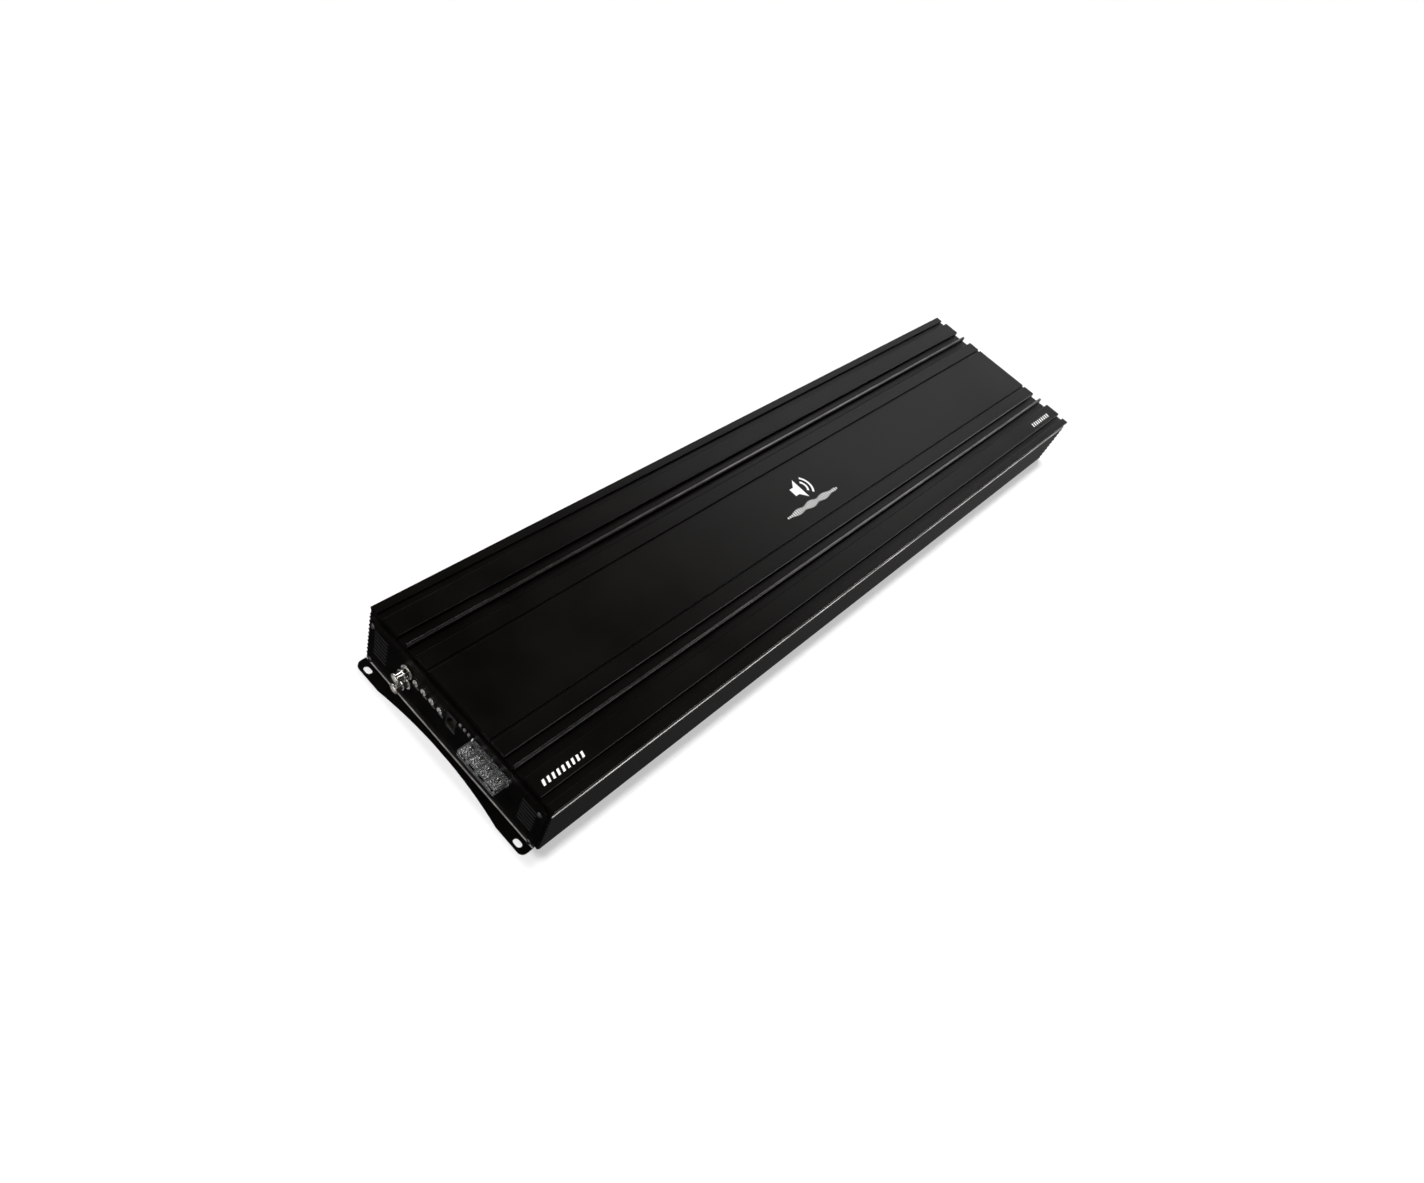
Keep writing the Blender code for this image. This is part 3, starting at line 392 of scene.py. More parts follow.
def facing(direction, centre):
    """A matrix that puts local +Z along a direction, at a place."""
    turn = Vector(direction).to_track_quat("Z", "Y").to_matrix().to_4x4()
    return Matrix.Translation(centre) @ turn


def box_into(shape, low, high):
    """Adds a box between two corners and returns its vertices."""
    centre = (Vector(low) + Vector(high)) / 2
    size = Vector(high) - Vector(low)
    made = bmesh.ops.create_cube(
        shape, size=1.0, matrix=Matrix.Translation(centre) @ Matrix.Diagonal((*size, 1.0)))
    return made["verts"]


def soft_boxes(name, ranges, width, segments=2):
    """A mesh of boxes with rounded edges, each given by its lowest and highest corners."""
    shape = bmesh.new()
    for low, high in ranges:
        box_into(shape, low, high)
    bmesh.ops.bevel(
        shape, geom=list(shape.edges), offset=width, offset_type="OFFSET", segments=segments,
        profile=0.5, affect="EDGES", clamp_overlap=True)
    mesh = mesh_of(shape, name)
    sharpen(mesh)
    return mesh


def cut(mesh, cutter_shape, name):
    """The mesh with another shape taken out of it."""
    thing = bpy.data.objects.new(name, mesh)
    bpy.context.scene.collection.objects.link(thing)
    cutter = bpy.data.objects.new(name + "_cutter", mesh_of(cutter_shape, name + "_cutter"))
    bpy.context.scene.collection.objects.link(cutter)
    step = thing.modifiers.new("cut", "BOOLEAN")
    step.solver = "EXACT"
    step.object = cutter
    applied(thing)
    result = thing.data
    bpy.data.objects.remove(thing)
    bpy.data.objects.remove(cutter)
    sharpen(result, 35)
    return result


def fluted(mesh, count, share, depth, low, high):
    """Presses grooves into a turned mesh, along its axis, between two heights."""
    for vertex in mesh.vertices:
        radius = math.hypot(vertex.co.x, vertex.co.y)
        if not low < vertex.co.z < high or radius < 0.2 * MM:
            continue
        place_in_flute = (math.atan2(vertex.co.y, vertex.co.x) / (2 * math.pi) * count + 0.001) % 1.0
        if place_in_flute < share:
            vertex.co.x *= (radius - depth) / radius
            vertex.co.y *= (radius - depth) / radius
    sharpen(mesh, 30)
    return mesh


def moved(mesh, matrix):
    """The same mesh, taken to its place."""
    mesh.transform(matrix)
    return mesh


def in_mm(points):
    """A profile given in millimetres."""
    return [(radius * MM, height * MM) for radius, height in points]


def middle_of(node):
    """The middle of a CAD node's box."""
    low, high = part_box(node)
    return (low + high) / 2


def stand_in(mesh, node, look=None):
    """A piece with its mesh in world coordinates that replaces one CAD node."""
    slot = SLOT_OF[node]
    made = piece(mesh, node + "_detail", BODY_OF[node], slot, look or slot)
    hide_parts(node)
    return made


INK_THICKNESS = 0.04 * MM
INK_GAP = 0.01 * MM


def plate_mark(name, outlines, matrix, look, slot="painted_black"):
    """Thin printed shapes on the case, each an outline in millimetres in the matrix's XY plane."""
    shape = bmesh.new()
    for outline in outlines:
        ring = [shape.verts.new((x * MM, y * MM, 0.0)) for x, y in outline]
        face = shape.faces.new(ring)
        raised = bmesh.ops.extrude_face_region(shape, geom=[face])
        top = [item for item in raised["geom"] if isinstance(item, bmesh.types.BMVert)]
        bmesh.ops.translate(shape, vec=(0, 0, INK_THICKNESS), verts=top)
    bmesh.ops.recalc_face_normals(shape, faces=shape.faces)
    return piece(moved(mesh_of(shape, name), matrix), name, "case", slot, look)


def bar(x, y, width, height):
    """The outline of an upright rectangle around a point."""
    return [
        (x - width / 2, y - height / 2), (x + width / 2, y - height / 2),
        (x + width / 2, y + height / 2), (x - width / 2, y + height / 2)]


def ring_piece(x, y, radius, thickness, start, end, count):
    """A curved stroke between two angles in degrees."""
    angles = [math.radians(start + (end - start) * i / count) for i in range(count + 1)]
    outer = [(x + radius * math.cos(a), y + radius * math.sin(a)) for a in angles]
    inside = radius - thickness
    inner = [(x + inside * math.cos(a), y + inside * math.sin(a)) for a in angles]
    return outer + inner[::-1]


# ---------------------------------------------------------------- casing

# Places on the casing's cross-section, and how far up or sideways a face has to look to be chosen.
TOP_Z = 65.5 * MM
BEAD_CREST_RISE = 0.6 * MM
BEAD_INNER_Y, BEAD_OUTER_Y = 59.8 * MM, 63.4 * MM
BEAD_FACES_UP = 0.8
RIM_EDGE_Y, LIP_EDGE_Z = 104.4 * MM, 53.0 * MM
RIM_TILT = (0.3, 0.95)
PLATE_FLANGE_Z = 2.0 * MM
BEND_RADIUS = 1.2 * MM
BEND_TILT = 0.15


def polished_where(made, look, chosen):
    """Gives a second look to the faces that a test picks."""
    made.data.materials.append(LOOKS[look])
    for face in made.data.polygons:
        if chosen(face):
            face.material_index = 1


def on_bead(face):
    """The flat crests of the two beads that run along the top."""
    on_crest = face.center.z > TOP_Z + BEAD_CREST_RISE and face.normal.z > BEAD_FACES_UP
    return on_crest and BEAD_INNER_Y < abs(face.center.y) < BEAD_OUTER_Y


def on_rim_edge(face):
    """The narrow strips along the outer edges of the rim and of the lip under it."""
    outermost = abs(face.center.y) > RIM_EDGE_Y and face.center.z > LIP_EDGE_Z
    return outermost and RIM_TILT[0] < face.normal.z < RIM_TILT[1]


def in_bend(face):
    """The inside of the fold between an end plate and its mounting flange."""
    inside = PLATE_FLANGE_Z < face.center.z < PLATE_FLANGE_Z + BEND_RADIUS
    return inside and min(abs(face.normal.x), face.normal.z) > BEND_TILT


chassis = refined("heatsink_chassis", 0.22 * MM, min_length=0.5)
polished_where(chassis, "bead_crest", lambda face: on_bead(face) or on_rim_edge(face))
for node in ("control_end_plate", "power_end_plate"):
    polished_where(refined(node, 0.35 * MM, angle=35), "painted_bend", in_bend)
refined("bottom_cover", 0.2 * MM, angle=35)

SCREW_HEAD_RISE = 2.1 * MM
CONTROL_FACE_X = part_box("control_plate_screw_1")[0].x + SCREW_HEAD_RISE
POWER_FACE_X = -CONTROL_FACE_X


def cross_recess(shape, top, reach, width, depth):
    """Two tapered bars that cut a cross recess down from a height."""
    end_taper, side_taper = 0.45, 0.8
    for along_x in (True, False):
        half_x, half_y = (reach, width / 2) if along_x else (width / 2, reach)
        verts = box_into(
            shape, (-half_x, -half_y, top - depth), (half_x, half_y, top + 1 * MM))
        for vertex in verts:
            if vertex.co.z < top:
                vertex.co.x *= end_taper if along_x else side_taper
                vertex.co.y *= side_taper if along_x else end_taper


def pan_head_screw(name):
    """A plate screw around local Z, with the underside of its head at 0.3 mm."""
    profile = in_mm([
        (0, 1.80), (0.7, 1.79), (1.3, 1.68), (1.85, 1.42), (2.25, 1.02), (2.46, 0.62), (2.5, 0.40),
        (2.44, 0.30), (1.5, 0.30), (1.5, -12.2), (1.1, -12.7), (0, -12.7)])
    cutter = bmesh.new()
    cross_recess(cutter, 1.85 * MM, 1.35 * MM, 0.62 * MM, 1.15 * MM)
    return cut(lathe(name, profile, 40), cutter, name)


for prefix, side in (("control", -1), ("power", 1)):
    for number in range(1, 5):
        node = f"{prefix}_plate_screw_{number}"
        middle = middle_of(node)
        head = Vector((side * POWER_FACE_X, middle.y, middle.z))
        # Each screw stopped at an angle of its own when it was driven home.
        spin = Matrix.Rotation(math.radians(23 + 31 * number), 4, "Z")
        stand_in(moved(pan_head_screw(node), facing((side, 0, 0), head) @ spin), node, "dark_zinc")

# ---------------------------------------------------------------- vents

# In millimetres, as the vents are cut in the CAD part.
VENT_COUNT, VENT_TOP_Z, VENT_PITCH, VENT_HEIGHT = 7, 46.0, 4.6, 1.5
VENT_Y = (78.5, 94.0)


def louvres(name, low_y, high_y):
    """Pressed lips that stand over the vent slots, thinned and closed towards their ends."""
    shape = bmesh.new()
    steps = 18
    overhang = 0.5
    for i in range(VENT_COUNT):
        root_z = VENT_TOP_Z - i * VENT_PITCH + VENT_HEIGHT / 2
        rows = []
        for j in range(steps + 1):
            along = j / steps
            y = low_y - overhang + (high_y - low_y + 2 * overhang) * along
            swell = min(1.0, 4.2 * math.sin(math.pi * along) ** 0.8)
            reach = 0.08 + 0.85 * swell
            drop = 0.35 * swell
            outer = [(0.0, 0.75), (reach * 0.55, 0.42), (reach * 0.92, -0.1), (reach, -drop - 0.25)]
            inner = [(reach - drop - 0.02, -drop - 0.22), (reach * 0.35, 0.1), (0.0, 0.05)]
            rows.append([
                shape.verts.new((CONTROL_FACE_X - (0.02 + out) * MM, y * MM, (root_z + up) * MM))
                for out, up in outer + inner])
        for first, second in zip(rows, rows[1:]):
            for k in range(len(first)):
                m = (k + 1) % len(first)
                shape.faces.new((first[k], first[m], second[m], second[k]))
        shape.faces.new(rows[0][::-1])
        shape.faces.new(rows[-1])
    bmesh.ops.recalc_face_normals(shape, faces=shape.faces)
    mesh = mesh_of(shape, name)
    sharpen(mesh, 50)
    return piece(mesh, name, "case", "painted_black", "painted_black")


louvres("vent_louvres_left", *VENT_Y)
louvres("vent_louvres_right", -VENT_Y[1], -VENT_Y[0])

# ---------------------------------------------------------------- phono sockets


def out_of_plate(node):
    """A matrix that puts local +Z out of the control plate's face, over a node's middle."""
    middle = middle_of(node)
    return facing((-1, 0, 0), (CONTROL_FACE_X, middle.y, middle.z))


# Here and below, profiles are (radius, distance out of the plate) in millimetres.
for level in ("upper", "lower"):
    out = out_of_plate(f"rca_shell_{level}")
    shell = lathe(f"rca_shell_{level}", in_mm([
        (3.62, 11.7), (3.72, 12.1), (3.95, 12.2), (4.2, 12.1), (4.35, 11.8), (4.35, 11.0), (4.2, 10.7),
        (4.0, 10.5), (3.95, 10.2), (3.95, 6.4), (4.1, 6.2), (4.6, 6.1), (4.8, 5.9), (4.8, 2.6), (4.6, 2.4),
        (4.3, 2.3), (4.3, 2.12), (5.7, 2.1), (6.1, 2.02), (6.4, 1.8), (6.5, 1.45), (6.5, 0.6), (6.4, 0.35),
        (6.2, 0.3), (4.15, 0.3), (4.15, -7.3), (3.62, -7.3)]), 96, closed=True)
    fluted(shell, 12, 0.34, 0.75 * MM, 2.65 * MM, 5.85 * MM)
    stand_in(moved(shell, out), f"rca_shell_{level}")
    insert = lathe(f"rca_insulator_{level}", in_mm([
        (1.72, 10.9), (2.1, 11.1), (2.5, 11.0), (2.6, 10.6), (2.6, 10.2), (3.0, 10.0), (3.3, 10.1),
        (3.3, -7.3), (1.72, -7.3)]), 48, closed=True)
    stand_in(moved(insert, out), f"rca_insulator_{level}")
    contact = lathe(f"rca_contact_{level}", in_mm([
        (1.15, 9.6), (1.3, 10.2), (1.5, 10.3), (1.66, 10.1), (1.66, -7.0), (1.15, -7.0)]), 32, closed=True)
    fluted(contact, 4, 0.12, 0.35 * MM, 6.0 * MM, 10.4 * MM)
    piece(moved(contact, out), f"rca_contact_{level}", "case", "bright_nickel", "brass")
refined("rca_jack_body", 0.4 * MM)

# ---------------------------------------------------------------- adjusters

for name in ("gain", "low_pass", "subsonic", "bass_boost"):
    out = out_of_plate(f"{name}_knob")
    knob = lathe(f"{name}_knob", in_mm([
        (0, 2.25), (1.9, 2.25), (2.2, 2.4), (2.6, 2.4), (2.85, 2.3), (3.0, 2.1), (3.1, 1.9), (3.1, 0.6),
        (3.0, 0.4), (2.8, 0.3), (1.7, 0.3), (1.7, -8.0), (1.4, -8.3), (0, -8.3)]), 72)
    fluted(knob, 18, 0.4, 0.22 * MM, 0.5 * MM, 2.0 * MM)
    slot_cutter = bmesh.new()
    box_into(slot_cutter, (-0.5 * MM, -4 * MM, 1.3 * MM), (0.5 * MM, 4 * MM, 4 * MM))
    upright = out.to_3x3().inverted() @ Vector((0, 0, 1))
    turn = Matrix.Rotation(math.atan2(-upright.x, upright.y), 4, "Z")
    slot_cutter.transform(turn)
    stand_in(moved(cut(knob, slot_cutter, f"{name}_knob"), out), f"{name}_knob")
    bush = lathe(f"{name}_bush", in_mm([
        (1.78, 0.24), (2.3, 0.24), (2.5, 0.1), (2.5, -2.2), (1.78, -2.2)]), 32, closed=True)
    piece(moved(bush, out), f"{name}_bush", "case", "zinc_steel", "zinc_steel")
    refined(f"{name}_potentiometer", 0.4 * MM)

# ---------------------------------------------------------------- remote level port and lamps

refined("remote_level_port", 0.3 * MM)
port_front_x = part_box("remote_level_port")[0].x
port = middle_of("remote_level_port")
WIRE_PITCH, HALF_WIRE, WIRE_RISE = 1.27 * MM, 0.18 * MM, 3.2 * MM
contacts = bmesh.new()
for i in range(4):
    wire_y = port.y + (i - 1.5) * WIRE_PITCH
    verts = box_into(
        contacts, (port_front_x + 2.0 * MM, wire_y - HALF_WIRE, port.z - 4.9 * MM),
        (port_front_x + 9.0 * MM, wire_y + HALF_WIRE, port.z - 4.55 * MM))
    for vertex in verts:
        if vertex.co.x > port_front_x + 5 * MM:
            vertex.co.z += WIRE_RISE
bmesh.ops.subdivide_edges(contacts, edges=contacts.edges, cuts=1)
piece(mesh_of(contacts, "port_contacts"), "port_contacts", "case", "bright_nickel", "brass")

for name in ("power", "protect", "clip"):
    dome = lathe(f"{name}_led", in_mm([
        (0, 1.2), (0.35, 1.17), (0.7, 1.06), (1.0, 0.88), (1.25, 0.62), (1.4, 0.3), (1.5, 0.0),
        (1.5, -4.6), (1.7, -4.7), (1.7, -6.0), (0, -6.0)]), 32)
    stand_in(moved(dome, out_of_plate(f"{name}_led")), f"{name}_led")

# ---------------------------------------------------------------- screw terminals

SPEAKERS = [f"speaker_{i}" for i in range(1, 5)]
INPUTS = ["battery", "remote", "ground"]
THREAD_PITCH, THREAD_DEPTH = 0.6 * MM, 0.28 * MM
HEX_SIDES = 6
for housing in ("speaker_terminal_housing", "power_terminal_housing"):
    refined(housing, 0.25 * MM, segments=3)
for name in SPEAKERS + INPUTS:
    refined(f"{name}_terminal", 0.28 * MM, segments=3, look="clamp_nickel")
    low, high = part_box(f"{name}_terminal_screw")
    radius = (high.x - low.x) / 2
    length = high.z - low.z
    profile = [(0.0, 0.0), (radius - 0.4 * MM, 0.0), (radius - 0.12 * MM, -0.15 * MM), (radius, -0.4 * MM)]
    for i in range(int((length - 1.0 * MM) / THREAD_PITCH)):
        top = -0.45 * MM - i * THREAD_PITCH
        profile += [
            (radius, top), (radius, top - THREAD_PITCH / 4),
            (radius - THREAD_DEPTH, top - THREAD_PITCH / 2)]
    profile += [(radius - 0.35 * MM, -length), (0.0, -length)]
    cutter = bmesh.new()
    bmesh.ops.create_cone(
        cutter, cap_ends=True, segments=HEX_SIDES, radius1=0.5 * radius, radius2=0.58 * radius,
        depth=0.6 * length, matrix=Matrix.Translation((0, 0, -0.28 * length)))
    body_mesh = cut(lathe(f"{name}_terminal_screw", profile, 36), cutter, name)
    middle = middle_of(f"{name}_terminal_screw")
    place = Matrix.Translation((middle.x, middle.y, high.z))
    stand_in(moved(body_mesh, place), f"{name}_terminal_screw")

# ---------------------------------------------------------------- fans

FAN_BLADES = 7
HUB_RADIUS, TIP_RADIUS = 11.5 * MM, 22.4 * MM
BLADE_ROOT_SINK = 0.4 * MM


def curved_blades(name, half_length):
    """Cambered fan blades, twisted from root to tip, as closed shapes around local Z."""
    shape = bmesh.new()
    spans, chords = 7, 8
    root = HUB_RADIUS - BLADE_ROOT_SINK
    for i in range(FAN_BLADES):
        grid = []
        for s in range(spans + 1):
            span = s / spans
            radius = root + (TIP_RADIUS - root) * span
            twist = math.radians(52 - 20 * span)
            sweep = 0.25 * span ** 2
            for side in (1, -1):
                row = []
                for c in range(chords + 1):
                    along = c / chords - 0.5
                    half_thickness = 0.62 * MM * (1 - (2 * along) ** 4) + 0.12 * MM
                    chord = (9.6 + 3.5 * span) * MM * along
                    camber = (1 - 4 * along ** 2) * 1.1 * MM + side * half_thickness
                    axial = chord * math.sin(twist) + camber * math.cos(twist)
                    around = chord * math.cos(twist) - camber * math.sin(twist)
                    angle = around / radius + sweep + 2 * math.pi * i / FAN_BLADES
                    axial = max(-half_length, min(half_length, axial))
                    place = (radius * math.cos(angle), radius * math.sin(angle), axial)
                    row.append(shape.verts.new(place))
                grid.append(row)
        upper, lower = grid[0::2], grid[1::2]
        for rows in (upper, lower):
            for a, b in zip(rows, rows[1:]):
                for c in range(chords):
                    shape.faces.new((a[c], a[c + 1], b[c + 1], b[c]))
        for s in range(spans):
            for c in (0, chords):
                shape.faces.new((upper[s][c], upper[s + 1][c], lower[s + 1][c], lower[s][c]))
        for s in (0, spans):
            for c in range(chords):
                shape.faces.new((upper[s][c], upper[s][c + 1], lower[s][c + 1], lower[s][c]))
    bmesh.ops.recalc_face_normals(shape, faces=shape.faces)
    return mesh_of(shape, name)


def joined(name, *meshes):
    """Several meshes as one."""
    shape = bmesh.new()
    for mesh in meshes:
        shape.from_mesh(mesh)
    mesh = mesh_of(shape, name)
    sharpen(mesh, 40)
    return mesh


for side in ("left", "right"):
    refined(f"fan_frame_{side}", 0.35 * MM)
    node = f"fan_rotor_{side}"
    low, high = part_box(node)
    half = (high.x - low.x) / 2
    hub = lathe(node + "_hub", [
        (0.0, half - 0.4 * MM), (7.2 * MM, half - 0.4 * MM), (7.5 * MM, half),
        (HUB_RADIUS - 1.2 * MM, half), (HUB_RADIUS - 0.4 * MM, half - 0.3 * MM),
        (HUB_RADIUS, half - 1.1 * MM), (HUB_RADIUS, -half), (0.0, -half)], 64)
    blades = curved_blades(node + "_blades", half - 0.3 * MM)
    stand_in(moved(joined(node, hub, blades), facing((1, 0, 0), middle_of(node))), node)

# ---------------------------------------------------------------- base screws


def countersunk_screw(name):
    """A base screw around local Z, with the top of its head just under 1.4 mm."""
    profile = in_mm([
        (0, 1.38), (2.6, 1.38), (2.85, 1.3), (2.9, 1.15), (1.5, -0.05), (1.5, -5.9), (1.2, -6.3), (0, -6.3)])
    cutter = bmesh.new()
    cross_recess(cutter, 1.4 * MM, 1.6 * MM, 0.7 * MM, 1.1 * MM)
    return cut(lathe(name, profile, 40), cutter, name)


BASE_SCREW_X, BASE_SCREW_Y, BASE_SCREW_SEAT_Z = 380 * MM, 95.5 * MM, 1.45 * MM
number = 0
for x in (-BASE_SCREW_X, 0.0, BASE_SCREW_X):
    for y in (-BASE_SCREW_Y, BASE_SCREW_Y):
        number += 1
        name = f"base_screw_{number}"
        seat = facing((0, 0, -1), (x, y, BASE_SCREW_SEAT_Z)) @ Matrix.Rotation(0.5 * number, 4, "Z")
        piece(moved(countersunk_screw(name), seat), name, "case", "zinc_steel", "zinc_steel")

# ---------------------------------------------------------------- wound cores, capacitors and boards


def wound_core(node, turns):
    """A ring core wrapped in separate turns of thick wire."""
    low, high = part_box(node)
    middle = middle_of(node)
    minor = (high.z - low.z) / 2
    major = (high.x - low.x) / 2 - minor
    wire_r = 0.95 * MM
    loop_r = minor - wire_r
    shape = bmesh.new()
    around, sides = 18, 6
    for i in range(turns):
        lean = 2 * math.pi * i / turns
        loops = []
        for j in range(around):
            swing = 2 * math.pi * j / around
            direction = Vector((math.cos(lean), math.sin(lean), 0))
            outward = direction * math.cos(swing) + Vector((0, 0, math.sin(swing)))
            centre = direction * major + outward * loop_r
            tangent = Vector((-math.sin(lean), math.cos(lean), 0))
            loops.append([
                shape.verts.new(
                    middle + centre + (outward * math.cos(t) + tangent * math.sin(t)) * wire_r)
                for t in (2 * math.pi * k / sides for k in range(sides))])
        for a, b in zip(loops, loops[1:] + loops[:1]):
            for k in range(sides):
                m = (k + 1) % sides
                shape.faces.new((a[k], a[m], b[m], b[k]))
    bmesh.ops.recalc_face_normals(shape, faces=shape.faces)
    mesh = mesh_of(shape, node)
    mesh.shade_smooth()
    stand_in(mesh, node)
    inside = lathe(node + "_core", [
        (major + (loop_r - wire_r) * math.cos(t), (loop_r - wire_r) * math.sin(t))
        for t in (2 * math.pi * k / 16 for k in range(16))], 48, closed=True)
    inside = moved(inside, Matrix.Translation(middle))
    piece(inside, node + "_core", "case", "black_plastic", "black_plastic")


wound_core("power_transformer_1", 44)
wound_core("power_transformer_2", 44)
wound_core("output_inductor", 34)
for i in range(1, 5):
    node = f"rail_capacitor_{i}"
    low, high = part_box(node)
    r = (high.x - low.x) / 2
    h = high.z - low.z
    can = lathe(node, [
        (0.0, h - 0.5 * MM), (r - 3.2 * MM, h - 0.5 * MM), (r - 2.6 * MM, h - 0.1 * MM), (r - 1.4 * MM, h),
        (r - 0.4 * MM, h - 0.4 * MM), (r, h - 1.4 * MM), (r, 5.0 * MM), (r - 0.7 * MM, 4.2 * MM),
        (r - 0.7 * MM, 3.4 * MM), (r, 2.6 * MM), (r, 0.3 * MM), (r - 0.3 * MM, 0.0), (0.0, 0.0)], 64)
    vent = bmesh.new()
    cross_recess(vent, h - 0.45 * MM, r - 5 * MM, 0.7 * MM, 0.25 * MM)
    middle = middle_of(node)
    foot = Matrix.Translation((middle.x, middle.y, low.z))
    stand_in(moved(cut(can, vent, node), foot), node)

BOARD_TOP_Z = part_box("main_board")[1].z
CLAMP_INNER_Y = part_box("transistor_clamp_left")[0].y
CHIPS_A_SIDE, FIRST_CHIP_X, CHIP_PITCH = 20, -313 * MM, 33 * MM
CHIP_INSET, CHIP_LOW_Z, CHIP_HIGH_Z = 2.8 * MM, 14 * MM, 34 * MM
HALF_CHIP = (8 * MM, 2.4 * MM)
chips = []
for side in (-1, 1):
    for i in range(CHIPS_A_SIDE):
        x = FIRST_CHIP_X + i * CHIP_PITCH
        y = side * (CLAMP_INNER_Y - CHIP_INSET)
        chips.append((
            (x - HALF_CHIP[0], y - HALF_CHIP[1], CHIP_LOW_Z),
            (x + HALF_CHIP[0], y + HALF_CHIP[1], CHIP_HIGH_Z)))
piece(soft_boxes("power_transistors", chips, 0.5 * MM), "power_transistors", "case", "black_plastic",
      "black_plastic")

# Small components at random places near both ends of the board, where they keep clear of each other.
COMPONENT_SIZES = ((3, 1.6, 0.9), (5, 4, 1.6), (8, 6, 7), (10, 7, 3))
COMPONENT_GAP = 1 * MM
random.seed(4)
small = []
for i in range(60):
    x = random.uniform(-360, -262) * MM if i % 2 else random.uniform(290, 370) * MM
    y = random.uniform(-70, 70) * MM
    w, d, h = (size * MM for size in random.choice(COMPONENT_SIZES))
    clear = all(
        abs(x - (a[0] + b[0]) / 2) > (w + b[0] - a[0]) / 2 + COMPONENT_GAP
        or abs(y - (a[1] + b[1]) / 2) > (d + b[1] - a[1]) / 2 + COMPONENT_GAP
        for a, b in small)
    if clear:
        small.append((
            (x - w / 2, y - d / 2, BOARD_TOP_Z), (x + w / 2, y + d / 2, BOARD_TOP_Z + h)))
piece(soft_boxes("board_components", small, 0.25 * MM), "board_components", "case", "black_plastic",
      "black_plastic")
for node in ("main_board", "control_board"):
    refined(node, 0.15 * MM)
for node in ("transistor_clamp_left", "transistor_clamp_right"):
    refined(node, 0.5 * MM)

# ---------------------------------------------------------------- printed marks

ON_TOP = Matrix.Translation((0, 0, TOP_Z + INK_GAP))
ICON_PLACE = Matrix.Translation((1 * MM, 4 * MM, 0))
speaker_icon = [
    [(-12, -4.6), (-6.5, -4.6), (0.5, -12), (0.5, 12), (-6.5, 4.6), (-12, 4.6)],
    ring_piece(0.5, 0, 9.0, 2.3, -48, 48, 14),
    ring_piece(0.5, 0, 14.6, 2.3, -48, 48, 20),
]
plate_mark("top_icon", speaker_icon, ON_TOP @ ICON_PLACE, "white_ink", slot="anodised_black")

WAVE_BARS, WAVE_PITCH, WAVE_START_X, WAVE_Y = 27, 3.0, -41, -15.8
wave = []
for i in range(WAVE_BARS):
    share = i / (WAVE_BARS - 1)
    height = 2.0 + 6.6 * math.sin(math.pi * share) ** 0.6 * abs(math.sin(2.7 * i + 0.6))
    wave.append(bar(WAVE_START_X + WAVE_PITCH * i, WAVE_Y, 1.4, height))
plate_mark("top_wave", wave, ON_TOP, "white_ink", slot="anodised_black")

DASH_COUNT, DASH_PITCH, DASH_WIDTH, DASH_LEAN = 9, 4.6, 2.2, 1.4
DASH_LOW_Y, DASH_HIGH_Y = -85.6, -80.8
for name, first_x in (("near", -405.1), ("far", 354.4)):
    dashes = []
    for i in range(DASH_COUNT):
        low_x = first_x + DASH_PITCH * i
        high_x = low_x + DASH_LEAN
        dashes.append([
            (low_x, DASH_LOW_Y), (low_x + DASH_WIDTH, DASH_LOW_Y),
            (high_x + DASH_WIDTH, DASH_HIGH_Y), (high_x, DASH_HIGH_Y)])
    plate_mark(f"top_stripes_{name}", dashes, ON_TOP, "white_ink", slot="anodised_black")

# On the control plate: local X is across the plate (+Y), local Y is up, in millimetres.
ON_CONTROL = Matrix((
    (0, 0, -1, CONTROL_FACE_X - INK_GAP), (1, 0, 0, 0), (0, 1, 0, 0), (0, 0, 0, 1)))
KNOB_START_Y, KNOB_PITCH, KNOB_Z = 42.2, 9.6, 42.5
LED_START_Y, LED_PITCH, LED_LABEL_Z = -7.6, 4.9, 46.6
TICKS_A_KNOB, TICK_START_ANGLE, TICK_STEP = 9, 130, 35
TICK_RADIUS, LONG_TICK, SHORT_TICK, TICK_WIDTH = 4.15, 0.75, 0.5, 0.22


def tick(x, y, angle, length):
    """A short stroke that points away from a knob's centre."""
    along = Vector((math.cos(angle), math.sin(angle)))
    across = Vector((-along.y, along.x)) * TICK_WIDTH / 2
    near = Vector((x, y)) + along * TICK_RADIUS
    far = near + along * length
    return [near + across, far + across, far - across, near - across]


ticks = []
labels = []
for i in range(4):
    knob_y = KNOB_START_Y - KNOB_PITCH * i
    for k in range(TICKS_A_KNOB):
        length = LONG_TICK if k in (0, TICKS_A_KNOB // 2, TICKS_A_KNOB - 1) else SHORT_TICK
        ticks.append(tick(knob_y, KNOB_Z, math.radians(TICK_START_ANGLE + TICK_STEP * k), length))
    labels.append(bar(knob_y, 35.2, 6.4, 0.7))
    labels.append(bar(knob_y - 0.4, 33.7, 4.6, 0.55))
for i in range(3):
    labels.append(bar(LED_START_Y - LED_PITCH * i, LED_LABEL_Z, 2.6, 0.5))
labels.append(bar(1.3, 30.8, 9.8, 0.6))
plate_mark("control_ticks", ticks, ON_CONTROL, "grey_ink")
plate_mark("control_labels", labels, ON_CONTROL, "grey_ink")
long_lines = [bar(-12.5, 9.6, 115, 0.28), bar(0, 57.2, 180, 0.22)]
plate_mark("control_lines", long_lines, ON_CONTROL, "faint_ink")

